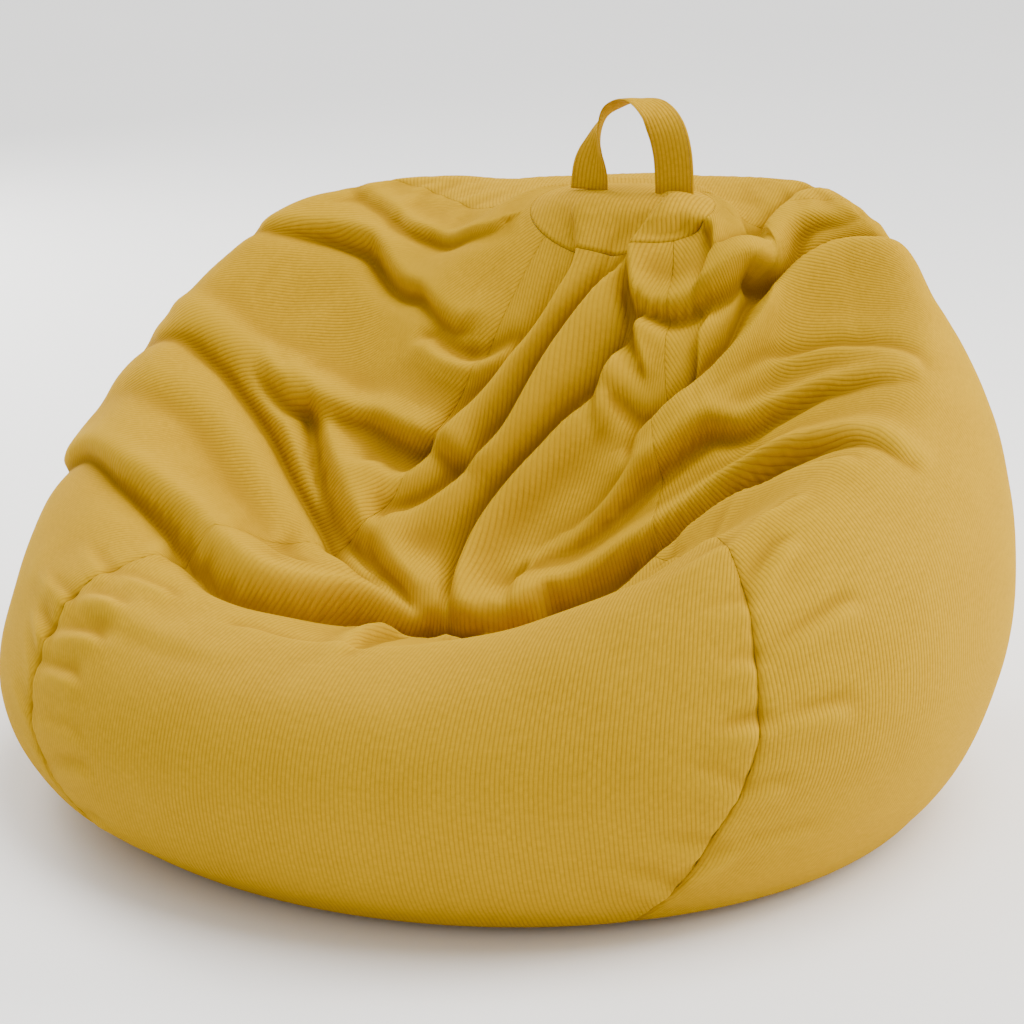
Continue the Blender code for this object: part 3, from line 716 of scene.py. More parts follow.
def layer_grid(depth, height):
    """Azimuths and levels of the grid of one layer, from its own lower edge up to the cap."""
    table = row_levels()[:, None]
    share = np.arange(COLUMNS) / COLUMNS
    azimuth, level = [], []
    for index in range(len(GORES)):
        start = level_at_height(gore_azimuth(index, share, np.full(COLUMNS, BASE_LEVEL)), depth, height)
        here = start + (table - BASE_LEVEL) * (CAP_LEVEL - start) / (CAP_LEVEL - BASE_LEVEL)
        level.append(here)
        azimuth.append(gore_azimuth(index, share, here))
    return np.hstack(azimuth), np.hstack(level)


def sample(grid, row, col, wrap=True):
    """Smooth values of a grid at fractional rows and columns."""
    rows, cols = grid.shape[:2]
    row, col = np.broadcast_arrays(row, col)
    r, c = np.floor(row).astype(int), np.floor(col).astype(int)
    fr, fc = row - r, col - c
    if grid.ndim == 3:
        fr, fc = fr[..., None], fc[..., None]
    lines = []
    for dr in (-1, 0, 1, 2):
        here = np.clip(r + dr, 0, rows - 1)
        four = [grid[here, (c + dc) % cols if wrap else np.clip(c + dc, 0, cols - 1)] for dc in (-1, 0, 1, 2)]
        lines.append(catmull(*four, fc))
    return catmull(*lines, fr)


def blurred(field, passes):
    """Each value averaged with its neighbours; columns run right round."""
    for _ in range(passes):
        field = (field + np.roll(field, 1, 1) + np.roll(field, -1, 1)) / 3
        field = (field + np.vstack((field[:1], field[:-1])) + np.vstack((field[1:], field[-1:]))) / 3
    return field


def lowest_near(field, spacing, reach):
    """The least value within reach of each point."""
    low = field.copy()
    for step in range(1, 9):
        within = step * spacing[:, None] <= reach
        for turn in (step, -step):
            low = np.where(within, np.minimum(low, np.roll(field, turn, 1)), low)
    for step in (1, 2):
        low = np.minimum(low, np.minimum(np.vstack((low[:1], low[:-1])), np.vstack((low[1:], low[-1:]))))
    return low


def make_cloth(scale):
    """The folded cover as one grid, and how far the layers under it have to lie."""
    azimuth, level = layer_grid(0.0, 0.5 * MM)
    smooth = surface(azimuth, level)
    points, normals = folded(azimuth, level, scale)
    offset = points - smooth
    inner = np.clip((9.8 - level) / 0.4, 0, 1)[..., None]
    offset += (np.stack([blurred(offset[..., k], 1) for k in range(3)], -1) - offset) * inner
    points = smooth + offset
    made["smooth"], made["level"] = smooth, level
    points = relaxed(points, level)
    made["cloth"] = points
    rise = ((points - smooth) * normals).sum(2)
    spacing = np.linalg.norm(np.diff(smooth, axis=1), axis=2).mean(1)
    # The crest attribute: how far the cloth stands above or sinks below its neighbourhood. The corduroy
    # paints highlight on the crests and shade in the hollows from it.
    made["crest"] = np.clip((rise - blurred(rise, 5)) / (2.5 * MM), -1, 1)
    low = blurred(np.minimum(lowest_near(rise, spacing, 18 * MM), 0), 2)
    spare = 9.0 * MM * np.clip((level - 1.6) / 1.6, 0, 1)
    made["under"] = low - spare * np.clip((CAP_LEVEL - level) / 0.3, 0, 1)


def relaxed(points, level):
    """The cloth let go for a moment by simulation, held softly to its folds and firmly at its edges."""
    coarse = points[::2, ::2]
    level = level[::2, ::2]
    rows, cols = coarse.shape[:2]
    obj = add_piece("slack_cloth", coarse.reshape(-1, 3), grid_faces(rows, cols, wrap=True))
    held = obj.vertex_groups.new(name="held")
    for row in range(rows):
        here = level[row].mean()
        taut = max(min((TAUT_BELOW - here) / 1.2, 1), 1 - (CAP_LEVEL - here) / 0.5, 0)
        weight = 1.0 if row > rows - 3 else CLOTH_HOLD + (1 - CLOTH_HOLD) * taut
        held.add(list(range(row * cols, row * cols + cols)), weight, "REPLACE")
    slack = obj.modifiers.new("slack", "CLOTH")
    cloth = slack.settings
    cloth.quality, cloth.mass = 5, 0.3
    cloth.tension_stiffness = cloth.compression_stiffness = 20
    cloth.shear_stiffness, cloth.bending_stiffness = 8, 0.8
    cloth.vertex_group_mass, cloth.pin_stiffness = "held", 2.0
    cloth.shrink_min = -CLOTH_SPARE
    cloth.effector_weights.gravity = 0.3
    slack.collision_settings.use_collision = False
    slack.point_cache.frame_end = CLOTH_FRAMES
    scene = bpy.context.scene
    for moment in range(1, CLOTH_FRAMES + 1):
        scene.frame_set(moment)
    graph = bpy.context.evaluated_depsgraph_get()
    mesh = obj.evaluated_get(graph).data
    let_go = np.zeros(rows * cols * 3, np.float32)
    mesh.vertices.foreach_get("co", let_go)
    scene.frame_set(1)
    old = obj.data
    bpy.data.objects.remove(obj)
    bpy.data.meshes.remove(old)
    move = let_go.reshape(rows, cols, 3) - coarse
    far = np.linalg.norm(move, axis=2, keepdims=True)
    move = move * np.minimum(1, CLOTH_REACH / np.maximum(far, 1e-6))
    row, col = np.arange(len(points)) / 2, np.arange(points.shape[1]) / 2
    return points + sample(move, row[:, None], col[None])


def gore_piece(index, name, settings):
    """One gore of the cover: a fine sheet with its edges turned in to the seams."""
    cloth, smooth = made["cloth"], made["smooth"]
    first = index * COLUMNS
    edge = np.array((SLIT, 1.1 * MM, 2.2 * MM, 3.6 * MM, 5.4 * MM))
    fine = np.concatenate((np.linspace(0, ROWS - 1.5, 300), [ROWS - 1.28, ROWS - 1.12, ROWS - 1.04]))
    beside = first + np.arange(-1, COLUMNS + 2)[None] * 1.0
    cells = np.linalg.norm(np.diff(sample(cloth, fine[:, None], beside), axis=1), axis=2)
    columns = []
    for d0, side in ((cells[:, 1], 0), (cells[:, -2], 1)):
        d0 = np.maximum(d0, 0.5 * MM)
        squeeze = np.minimum(1, 0.05 * COLUMNS * d0 / edge[-1])
        reach = SLIT + (edge[None] - SLIT) * squeeze[:, None]
        c = reach / d0[:, None]
        columns.append(c if side == 0 else COLUMNS - c[:, ::-1])
    inner = np.linspace(columns[0][:, -1], columns[1][:, 0], 112, axis=1)[:, 1:-1]
    col = np.hstack((columns[0], inner, columns[1]))
    points = sample(cloth, fine[:, None], first + col)
    every_row, every_column = np.arange(ROWS)[:, None] * 1.0, np.arange(COLUMNS + 1)[None] * 1.0
    flat = sample(smooth, every_row, first + every_column)
    run = running_length(flat, 1)
    run -= run[:, COLUMNS // 2][:, None]
    rise = running_length(flat[:, COLUMNS // 2], 0)
    u = sample(run, fine[:, None], np.minimum(col, COLUMNS), wrap=False)
    v = np.broadcast_to(np.interp(fine, np.arange(ROWS), rise)[:, None], u.shape)
    normals = unit(np.cross(np.gradient(points, axis=1), np.gradient(points, axis=0)))
    steps = running_length(points, 1)
    near = np.minimum(steps, steps[:, -1:] - steps)
    ripple = 0.5 * np.sin(v * 2 * math.pi / 0.019 + 2 * np.sin(v * 31))
    pucker = 0.5 + ripple * np.sin(v * 2 * math.pi / 0.047 + 1.0)
    firm = np.clip((6.4 - sample(made["level"], fine[:, None], first + col)) / 1.6, 0.18, 1)
    groove = settings.seam_depth * firm * np.exp(-((near / (2.8 * MM)) ** 1.6))
    roll = 0.7 * MM * firm * np.exp(-(((near - 7 * MM) / (4 * MM)) ** 2))
    gather = 1.3 * MM * firm * pucker * np.exp(-((near / (12 * MM)) ** 2))
    points = points + normals * (roll - groove - gather)[..., None]
    obj = add_piece(name, points.reshape(-1, 3), grid_faces(*col.shape), np.stack((u, v), -1).reshape(-1, 2))
    crest = sample(made["crest"], fine[:, None], first + col)
    # Painted shade along the seams: the crest attribute is lowered in the seam grooves, so the corduroy
    # darkens there.
    point_attribute(obj, "crest", crest - 0.7 * firm * np.exp(-((near / (2.6 * MM)) ** 2)))
    return wall(obj, COVER_THICK)


def cap_points():
    """Rings of the top cap from its seam to its middle, and their normals."""
    levels = np.concatenate((10 + np.array((0.004, 0.05, 0.12, 0.25)), np.linspace(10.4, 11.94, 12)))
    shares = np.arange(COLUMNS // 2) * 2 / COLUMNS
    seam = np.full(len(shares), CAP_LEVEL)
    azimuth = np.concatenate([gore_azimuth(i, shares, seam) for i in range(len(GORES))])
    return folded(*np.meshgrid(azimuth, levels))


def lining_gore(index, height):
    """One gore of the lining, which lies under the lowest of the cover's folds."""
    azimuth, level = layer_grid(LINING_DEPTH, height)
    row = np.linspace(0, ROWS - 1, LINING_ROWS)[:, None]
    edge = 0.1
    inner = np.linspace(1.2, COLUMNS - 1.2, LINING_COLUMNS)
    col = index * COLUMNS + np.concatenate(([edge], inner, [COLUMNS - edge]))[None]
    depth = (made["under"] - LINING_DEPTH)[..., None]
    return sample(surface(azimuth, level) + surface_normal(azimuth, level) * depth, row, col)


# ---------------------------------------------------------------- repeated small parts


def tree_for(name, inputs):
    """A geometry node tree with a geometry input and output and named number inputs."""
    tree = bpy.data.node_groups.new(name, "GeometryNodeTree")
    tree.interface.new_socket("Geometry", in_out="INPUT", socket_type="NodeSocketGeometry")
    for label, value in inputs:
        socket = tree.interface.new_socket(label, in_out="INPUT", socket_type="NodeSocketFloat")
        socket.default_value = value
    tree.interface.new_socket("Geometry", in_out="OUTPUT", socket_type="NodeSocketGeometry")
    return tree, tree.nodes.new("NodeGroupInput"), tree.nodes.new("NodeGroupOutput")


def place_along(tree, out, points, values, mat):
    """Ends a tree: one instance at each point, turned along its line, made real and given its material."""
    values = {"Points": points.outputs["Points"], "Rotation": points.outputs["Rotation"], **values}
    instances = add_node(tree, "GeometryNodeInstanceOnPoints", values)
    real = add_node(tree, "GeometryNodeRealizeInstances", {0: instances.outputs[0]})
    smooth = add_node(tree, "GeometryNodeSetShadeSmooth", {0: real.outputs[0]})
    last = add_node(tree, "GeometryNodeSetMaterial", {0: smooth.outputs[0]})
    last.inputs["Material"].default_value = mat
    tree.links.new(last.outputs[0], out.inputs[0])


def stitch_tree(mat):
    """Lockstitches along each line: a short rounded bead of thread, a gap, and the next."""
    inputs = [("Pitch", 0.0032), ("Length", 0.0024), ("Thread", 0.00045)]
    tree, given, out = tree_for("stitch row", inputs)
    curve = add_node(tree, "GeometryNodeMeshToCurve", {0: given.outputs["Geometry"]})
    spacing = {"Curve": curve.outputs[0], "Length": given.outputs["Pitch"]}
    points = add_node(tree, "GeometryNodeCurveToPoints", spacing, mode="LENGTH")
    bow = {
        "Resolution": 6, "Start": (0, 0, -0.5), "Start Handle": (0.0, 0.12, -0.45),
        "End Handle": (0.0, 0.12, 0.45), "End": (0, 0, 0.5),
    }
    stitch = add_node(tree, "GeometryNodeCurvePrimitiveBezierSegment", bow)
    ring = add_node(tree, "GeometryNodeCurvePrimitiveCircle", {"Resolution": 6, "Radius": 1.0})
    param = add_node(tree, "GeometryNodeSplineParameter")
    rod = {0: stitch.outputs[0], 1: ring.outputs[0], "Fill Caps": True}
    tube = add_node(tree, "GeometryNodeCurveToMesh", rod)
    if "Scale" in tube.inputs:
        thin = maths(tree, "SINE", maths(tree, "MULTIPLY_ADD", param.outputs[0], 2.6, 0.27))
        tree.links.new(thin, tube.inputs["Scale"])
    thread = given.outputs["Thread"]
    size = add_node(tree, "ShaderNodeCombineXYZ", {0: thread, 1: thread, 2: given.outputs["Length"]})
    place_along(tree, out, points, {"Instance": tube.outputs[0], "Scale": size.outputs[0]}, mat)
    return tree


def coil_tree(mat):
    """A zip coil: flattened loops of nylon, one for each turn, leaning along the chain."""
    inputs = [("Pitch", 0.0014), ("Width", 0.0022), ("Height", 0.0013), ("Wire", 0.00032)]
    tree, given, out = tree_for("zip coil", inputs)
    curve = add_node(tree, "GeometryNodeMeshToCurve", {0: given.outputs["Geometry"]})
    spacing = {"Curve": curve.outputs[0], "Length": given.outputs["Pitch"]}
    points = add_node(tree, "GeometryNodeCurveToPoints", spacing, mode="LENGTH")
    loop = add_node(tree, "GeometryNodeCurvePrimitiveCircle", {"Resolution": 10, "Radius": 0.5})
    wide = add_node(
        tree, "ShaderNodeCombineXYZ",
        {0: maths(tree, "SUBTRACT", given.outputs["Height"], given.outputs["Wire"]),
         1: maths(tree, "SUBTRACT", given.outputs["Width"], given.outputs["Wire"]), 2: 1.0},
    )
    sized = add_node(tree, "GeometryNodeTransform", {"Geometry": loop.outputs[0], "Scale": wide.outputs[0]})
    wire = add_node(tree, "GeometryNodeCurvePrimitiveCircle", {"Resolution": 5})
    tree.links.new(maths(tree, "MULTIPLY", given.outputs["Wire"], 0.5), wire.inputs["Radius"])
    turn = add_node(tree, "GeometryNodeCurveToMesh", {0: sized.outputs[0], 1: wire.outputs[0]})
    tilt = {"Geometry": turn.outputs[0], "Rotation": (0.35, 0.0, 0.0)}
    lean = add_node(tree, "GeometryNodeTransform", tilt)
    place_along(tree, out, points, {"Instance": lean.outputs[0]}, mat)
    return tree


def line_piece(name, lines, tree, values):
    """One plain mesh made by a geometry node tree along lines of points."""
    points, edges = [], []
    for line in lines:
        start = len(points)
        points += [tuple(p) for p in line]
        edges += [(start + i, start + i + 1) for i in range(len(line) - 1)]
    mesh = bpy.data.meshes.new(name)
    mesh.from_pydata(points, edges, [])
    obj = link_object(name, mesh)
    maker = obj.modifiers.new("maker", "NODES")
    maker.node_group = tree
    for item in tree.interface.items_tree:
        if item.item_type == "SOCKET" and item.in_out == "INPUT" and item.name in values:
            maker[item.identifier] = float(values[item.name])
    return settle(obj)


# ---------------------------------------------------------------- carry strap

# The strap's middle line, left foot to right foot: share of the span from the left foot,
# share of the rise, shift towards the back, and how far its face turns from "outwards" (degrees).
STRAP_ROUTE = np.array([
    (0.000, 0.000, 0.000, -88), (0.022, 0.220, 0.000, -80), (0.052, 0.440, 0.001, -58),
    (0.110, 0.700, 0.002, -16), (0.255, 0.900, 0.002, 14), (0.490, 1.000, 0.000, 9),
    (0.740, 0.920, -0.002, -28), (0.890, 0.720, -0.002, -62), (0.965, 0.480, -0.001, -78),
    (0.990, 0.240, 0.000, -85), (1.000, 0.000, 0.000, -88),
])
STRAP_SPAN, STRAP_RISE, STRAP_FOOT_Z = 0.094, 0.100, 0.5462
STRAP_Y = CAP_Y + 0.012


def strap_frames(steps):
    """Middle points of the strap with its width and face directions."""
    rows = np.column_stack((
        CAP_X + 0.007 - STRAP_SPAN / 2 + STRAP_SPAN * STRAP_ROUTE[:, 0], STRAP_Y + STRAP_ROUTE[:, 2],
        STRAP_FOOT_Z + (STRAP_RISE - 0.002) * STRAP_ROUTE[:, 1], STRAP_ROUTE[:, 3],
    ))
    padded = np.vstack((2 * rows[0] - rows[1], rows, 2 * rows[-1] - rows[-2]))
    t = np.linspace(0, len(rows) - 1, steps)
    i = np.minimum(t.astype(int), len(rows) - 2)
    line = catmull(padded[i], padded[i + 1], padded[i + 2], padded[i + 3], (t - i)[:, None])
    ahead = unit(np.gradient(line[:, :3], axis=0))
    ahead[0], ahead[-1] = (0, 0, 1), (0, 0, -1)
    outward = unit(np.cross((0, 1.0, 0), ahead))
    across = np.cross(ahead, outward)
    turn = np.radians(line[:, 3])[:, None]
    face = -outward * np.cos(turn) + across * np.sin(turn)
    return line[:, :3], np.cross(ahead, face), face, t / t[-1]


def strap_width(t, width):
    """The strap is squeezed where its left leg twists."""
    twist = 0.30 * np.exp(-(((t - 0.27) / 0.10) ** 2))
    return width * (1 - twist - 0.06 * np.exp(-(((t - 0.62) / 0.2) ** 2)))


def strap_crease(t):
    """How far the strap's middle sinks behind its edges, along its length."""
    left_fold = 0.0085 * np.exp(-(((t - 0.17) / 0.14) ** 2))
    return left_fold + 0.0016 * np.sin(t * 9) * np.exp(-(((t - 0.7) / 0.25) ** 2))


def strap_mesh(width, thick):
    steps = 141
    middle, wide, face, t = strap_frames(steps)
    half_w, half_t = strap_width(t, width) / 2, thick / 2
    count = 13
    u = np.sin(np.linspace(-1, 1, count) * math.pi / 2)
    top = [(s, math.sqrt(max(0.0, 1 - abs(s) ** 9))) for s in u]
    outline = top + [(s, -h) for s, h in top[::-1][1:-1]]
    lines, uv = [], []
    length = running_length(middle, 0)
    for k in range(steps):
        ring = []
        for s, h in outline:
            bend = strap_crease(t[k]) * (abs(s) ** 1.3 - 0.45)
            plump = half_t * (0.82 + 0.18 * math.cos(s * 2.6)) * h
            ring.append(middle[k] + wide[k] * s * half_w[k] + face[k] * (plump + bend))
            uv.append((s * width / 2 + (0.05 if h < 0 else 0), length[k]))
        lines.append(ring)
    around = len(outline)
    faces = grid_faces(steps, around, wrap=True)
    faces += [list(range(around))[::-1], [(steps - 1) * around + i for i in range(around)]]
    points = np.array(lines).reshape(-1, 3)
    return points, faces, uv


def strap_stitch_lines(width, thick):
    """Rows of stitching along both edges, on both faces."""
    middle, wide, face, t = strap_frames(141)
    lines = []
    for s in (-0.84, 0.84):
        for side in (1, -1):
            at = strap_width(t, width)[:, None] / 2 * s
            bend = (strap_crease(t) * (abs(s) ** 1.3 - 0.45))[:, None]
            lift = side * (thick / 2 * (0.82 + 0.18 * math.cos(s * 2.6)) * 0.95)
            lines.append((middle + wide * at + face * (bend + lift))[3:-3])
    return lines


# ---------------------------------------------------------------- settings

def size(name, value, text, low=0.0, high=1.0):
    return bpy.props.FloatProperty(
        name=name, description=text, default=value, min=low, max=high, precision=4,
        unit="LENGTH", subtype="DISTANCE",
    )


def paint(name, value, text):
    return bpy.props.FloatVectorProperty(
        name=name, description=text, default=value, min=0, max=1, size=3, subtype="COLOR"
    )


def share(name, value, text, high):
    return bpy.props.FloatProperty(
        name=name, description=text, default=value, min=0, max=high, subtype="FACTOR"
    )


def angle(name, degrees, text):
    return bpy.props.FloatProperty(
        name=name, description=text, default=math.radians(degrees), subtype="ANGLE", unit="ROTATION"
    )


class BeanBagCover(bpy.types.PropertyGroup):
    colour: paint("Corduroy", (0.455, 0.256, 0.001), "Colour of the corduroy on top of its wales")
    thread: paint("Thread", (0.56, 0.34, 0.05), "Colour of the sewing thread")
    wale: size("Wale", 0.0042, "Distance from one corduroy rib to the next", 0.001, 0.02)
    seam_depth: size("Seam depth", 0.0024, "How deep the seams are drawn in", 0, 0.01)
    slack: share("Slack", 1.0, "How high the folds of the loose cloth stand", 1.5)
    fullness: share("Fullness", 0.7, "How tightly the beads fill the cover", 1)


class BeanBagStrap(bpy.types.PropertyGroup):
    width: size("Width", 0.042, "Width of the carry strap", 0.02, 0.08)
    thickness: size("Thickness", 0.0032, "Thickness of the doubled cloth", 0.001, 0.01)
    stitch: size("Stitch", 0.0034, "Length of one stitch and its gap", 0.001, 0.01)


class BeanBagInside(bpy.types.PropertyGroup):
    lining: paint("Lining", (0.80, 0.78, 0.74), "Colour of the inner bag")
    beads: paint("Beads", (0.90, 0.90, 0.89), "Colour of the bead fill")
    weave: size("Weave", 0.0009, "Thread spacing of the lining cloth", 0.0002, 0.005)


class BeanBagZips(bpy.types.PropertyGroup):
    mustard: paint("Cover zip", (0.480, 0.290, 0.050), "Colour of the cover's zip")
    white: paint("Lining zip", (0.75, 0.74, 0.71), "Colour of the lining's zip")
    metal: paint("Sliders", (0.62, 0.61, 0.58), "Colour of the sliders and stops")
    pitch: size("Coil pitch", 0.0014, "Distance from one turn of the coil to the next", 0.0008, 0.004)


class BeanBagStage(bpy.types.PropertyGroup):
    floor: paint("Floor", (0.94, 0.94, 0.935), "Colour of the studio floor")
    azimuth: angle("Azimuth", 20, "Camera's turn from the front, towards +X")
    elevation: angle("Elevation", 18, "Camera's height as an angle")
    distance: size("Distance", 3.0, "Camera's distance from the bag's middle", 1, 20)
    lens: bpy.props.FloatProperty(
        name="Lens", description="Focal length in millimetres", default=105, min=20, max=300
    )


# ---------------------------------------------------------------- operators

CAMERA_AIM = Vector((0, 0, 0.27))


class BEANBAG_OT_camera(bpy.types.Operator):
    """Set up the camera that looks at the chair from its front"""

    bl_idname = "bean_bag.camera"
    bl_label = "Camera"

    def execute(self, context):
        stage = context.scene.bean_bag_stage
        lens = bpy.data.cameras.new("studio camera")
        lens.lens, lens.sensor_width = stage.lens, 36
        camera = link_object("studio_camera", lens)
        a, e = stage.azimuth, stage.elevation
        away = Vector((math.sin(a) * math.cos(e), -math.cos(a) * math.cos(e), math.sin(e)))
        camera.location = CAMERA_AIM + away * stage.distance
        camera.rotation_euler = (-away).to_track_quat("-Z", "Y").to_euler()
        context.scene.camera = camera
        return {"FINISHED"}


class BEANBAG_OT_cover(bpy.types.Operator):
    """Make the four folded corduroy gores and the top cap"""

    bl_idname = "bean_bag.cover"
    bl_label = "Cover Gores and Cap"

    def execute(self, context):
        settings = context.scene.bean_bag_cover
        made["corduroy"] = corduroy_material("mustard corduroy", settings.colour, settings.wale)
        make_cloth(settings.slack)
        for index, (side, _, _) in enumerate(GORES):
            obj = gore_piece(index, f"{side}_gore", settings)
            finish_piece(obj, "bag", made["corduroy"], "corduroy", f"cover_{side}_panel")
        points, normals = cap_points()
        rings, around = points.shape[:2]
        middle = points[-1].mean(0, keepdims=True)
        sink = 0.25 * MM * np.exp(-((np.arange(rings) / 1.3) ** 2))
        points = points - normals * sink[:, None, None]
        flat = np.concatenate((points.reshape(-1, 3), middle))
        faces = grid_faces(rings, around, wrap=True)
        last = (rings - 1) * around
        faces += [(last + i, last + (i + 1) % around, len(flat) - 1) for i in range(around)]
        cap = add_piece("top_cap", flat, faces, flat[:, :2] - np.array((CAP_X, CAP_Y)))
        finish_piece(wall(cap, COVER_THICK), "bag", made["corduroy"], "corduroy", "cover_top_cap")
        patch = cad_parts["strap_anchor_patch"]
        patch_piece = softened_copy("strap_anchor_patch", "anchor_patch", 0.2 * MM, 1)
        flat_uv(patch_piece, (CAP_X, CAP_Y))
        finish_piece(patch_piece, "bag", made["corduroy"], "corduroy", patch.name)
        return {"FINISHED"}


class BEANBAG_OT_base(bpy.types.Operator):
    """Make the two halves of the cover's base with the hem and stitching round its zip"""

    bl_idname = "bean_bag.base"
    bl_label = "Cover Base"

    def execute(self, context):
        settings = context.scene.bean_bag_cover
        made["thread"] = thread_material("mustard thread", settings.thread)
        made["stitches"] = stitch_tree(made["thread"])
        for side in ("front", "back"):
            node = f"cover_base_{side}_panel"
            obj = softened_copy(node, f"base_{side}", 0.5 * MM, 2)
            flat_uv(obj)
            finish_piece(obj, "bag", made["corduroy"], "corduroy", node)
        y = (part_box("cover_zip_coil_front")[0].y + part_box("cover_zip_coil_back")[1].y) / 2
        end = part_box("cover_zip_coil_front")[1].x + 0.014
        z = 0.12 * MM
        lines = []
        for gap in (9.5 * MM, 14.0 * MM):
            xs = np.linspace(-end - gap + 0.008, end + gap - 0.008, 40)
            ys = np.linspace(y - gap, y + gap, 4)
            lines += [[(x, v, z) for x in xs] for v in (y - gap, y + gap)]
            lines += [[(x, v, z) for v in ys] for x in (xs[0], xs[-1])]
        values = {"Pitch": 0.0034, "Length": 0.0025, "Thread": 0.0003}
        obj = line_piece("base_hem_stitches", lines, made["stitches"], values)
        finish_piece(obj, "bag", made["thread"], "corduroy")
        return {"FINISHED"}


class BEANBAG_OT_strap(bpy.types.Operator):
    """Make the twisted carry strap and its stitching"""

    bl_idname = "bean_bag.strap"
    bl_label = "Carry Strap"

    def execute(self, context):
        settings = context.scene.bean_bag_strap
        points, faces, uv = strap_mesh(settings.width, settings.thickness)
        strap = add_piece("carry_loop", points, faces, uv)
        finish_piece(strap, None, made["corduroy"], "corduroy", "carry_strap")
        lines = strap_stitch_lines(settings.width, settings.thickness)
        values = {"Pitch": settings.stitch, "Length": settings.stitch * 0.74, "Thread": 0.00038}
        row = line_piece("strap_stitches", lines, made["stitches"], values)
        finish_piece(row, None, made["thread"], "corduroy")
        for obj in (strap, row):
            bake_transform(obj)
        return {"FINISHED"}


class BEANBAG_OT_lining(bpy.types.Operator):
    """Make the inner bag of plain cloth under the cover"""

    bl_idname = "bean_bag.lining"
    bl_label = "Lining"

    def execute(self, context):
        inside_set = context.scene.bean_bag_inside
        cloth = woven_material("white lining cloth", inside_set.lining, inside_set.weave)
        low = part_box("lining_base_front_panel")[0].z
        for index, (side, _, _) in enumerate(GORES):
            points = lining_gore(index, low + 0.5 * MM)
            obj = add_piece(f"lining_{side}_gore", points.reshape(-1, 3), grid_faces(*points.shape[:2]))
            wall(obj, LINING_THICK)
            finish_piece(obj, "bag", cloth, "lining_cloth", f"lining_{side}_panel")
        for part in ("top_cap", "base_front_panel", "base_back_panel"):
            obj = softened_copy(f"lining_{part}", f"lining_{part}_sewn", 0.2 * MM, 1)
            finish_piece(obj, "bag", cloth, "lining_cloth", f"lining_{part}")
        return {"FINISHED"}


class BEANBAG_OT_fill(bpy.types.Operator):
    """Make the bead fill as one settled heap inside the lining"""

    bl_idname = "bean_bag.fill"
    bl_label = "Bead Fill"

    def execute(self, context):
        inside_set = context.scene.bean_bag_inside
        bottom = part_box("bead_fill")[0].z
        azimuth, level = layer_grid(FILL_DEPTH, bottom)
        depth = (made["under"] * 1.05 - FILL_DEPTH)[..., None]
        base = surface(azimuth, level) + surface_normal(azimuth, level) * depth
        rows = np.linspace(0, ROWS - 1, 70)[:, None]
        cols = np.arange(0, 4 * COLUMNS, 2)[None] * 1.0
        points = sample(base, rows, cols)
        around = points.shape[1]
        deep = np.full(around, FILL_DEPTH)
        caps = [inside(azimuth[-1, ::2], np.full(around, ring), deep) for ring in (10.5, 11.0, 11.6)]
        points = np.concatenate((points, np.array(caps)))
        points[0, :, 2] = bottom
        flat = np.concatenate((points.reshape(-1, 3), [(0, 0, bottom)], [caps[-1].mean(0)]))
        count = len(points)
        faces = grid_faces(count, around, wrap=True)
        last = (count - 1) * around
        faces += [((i + 1) % around, i, len(flat) - 2) for i in range(around)]
        faces += [(last + i, last + (i + 1) % around, len(flat) - 1) for i in range(around)]
        obj = add_piece("bead_heap", flat, faces)
        finish_piece(obj, "bag", bead_material("polystyrene beads", inside_set.beads), "beads", "bead_fill")
        return {"FINISHED"}


class BEANBAG_OT_zips(bpy.types.Operator):
    """Make both zips: woven tapes, nylon coils, crimped stops and locking sliders"""

    bl_idname = "bean_bag.zips"
    bl_label = "Zips"

    def execute(self, context):
        zips = context.scene.bean_bag_zips
        metal = nickel_material("tumbled nickel", zips.metal)
        for bag, word, colour in (("cover", "mustard", zips.mustard), ("lining", "white", zips.white)):
            tape = woven_material(f"{word} zip tape", colour, 0.0007, twill=True)
            coil = coil_material(f"{word} zip coil", colour)
            tree = coil_tree(coil)
            for side in ("front", "back"):
                node = f"{bag}_zip_tape_{side}"
                obj = softened_copy(node, f"{bag}_tape_{side}", 0.2 * MM, 2)
                finish_piece(obj, "bag", tape, f"{word}_tape", node)
                node = f"{bag}_zip_coil_{side}"
                low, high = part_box(node)
                y, z = (low.y + high.y) / 2, (low.z + high.z) / 2
                line = [(x, y, z) for x in np.linspace(low.x, high.x, 12)]
                values = {
                    "Pitch": zips.pitch, "Width": high.y - low.y, "Height": high.z - low.z, "Wire": 0.0006,
                }
                obj = line_piece(f"{bag}_coil_{side}", [line], tree, values)
                finish_piece(obj, "bag", coil, f"{word}_coil", node)
            for part in ("zip_top_stop_front", "zip_top_stop_back", "zip_bottom_stop"):
                obj = softened_copy(f"{bag}_{part}", f"{bag}_{part[4:]}_crimp", 0.35 * MM, 3)
                finish_piece(obj, "bag", metal, "nickel", f"{bag}_{part}")
            obj = softened_copy(f"{bag}_zip_slider", f"{bag}_slider_cast", 0.28 * MM, 3)
            finish_piece(obj, f"{bag}_slider", metal, "nickel", f"{bag}_zip_slider")
        return {"FINISHED"}


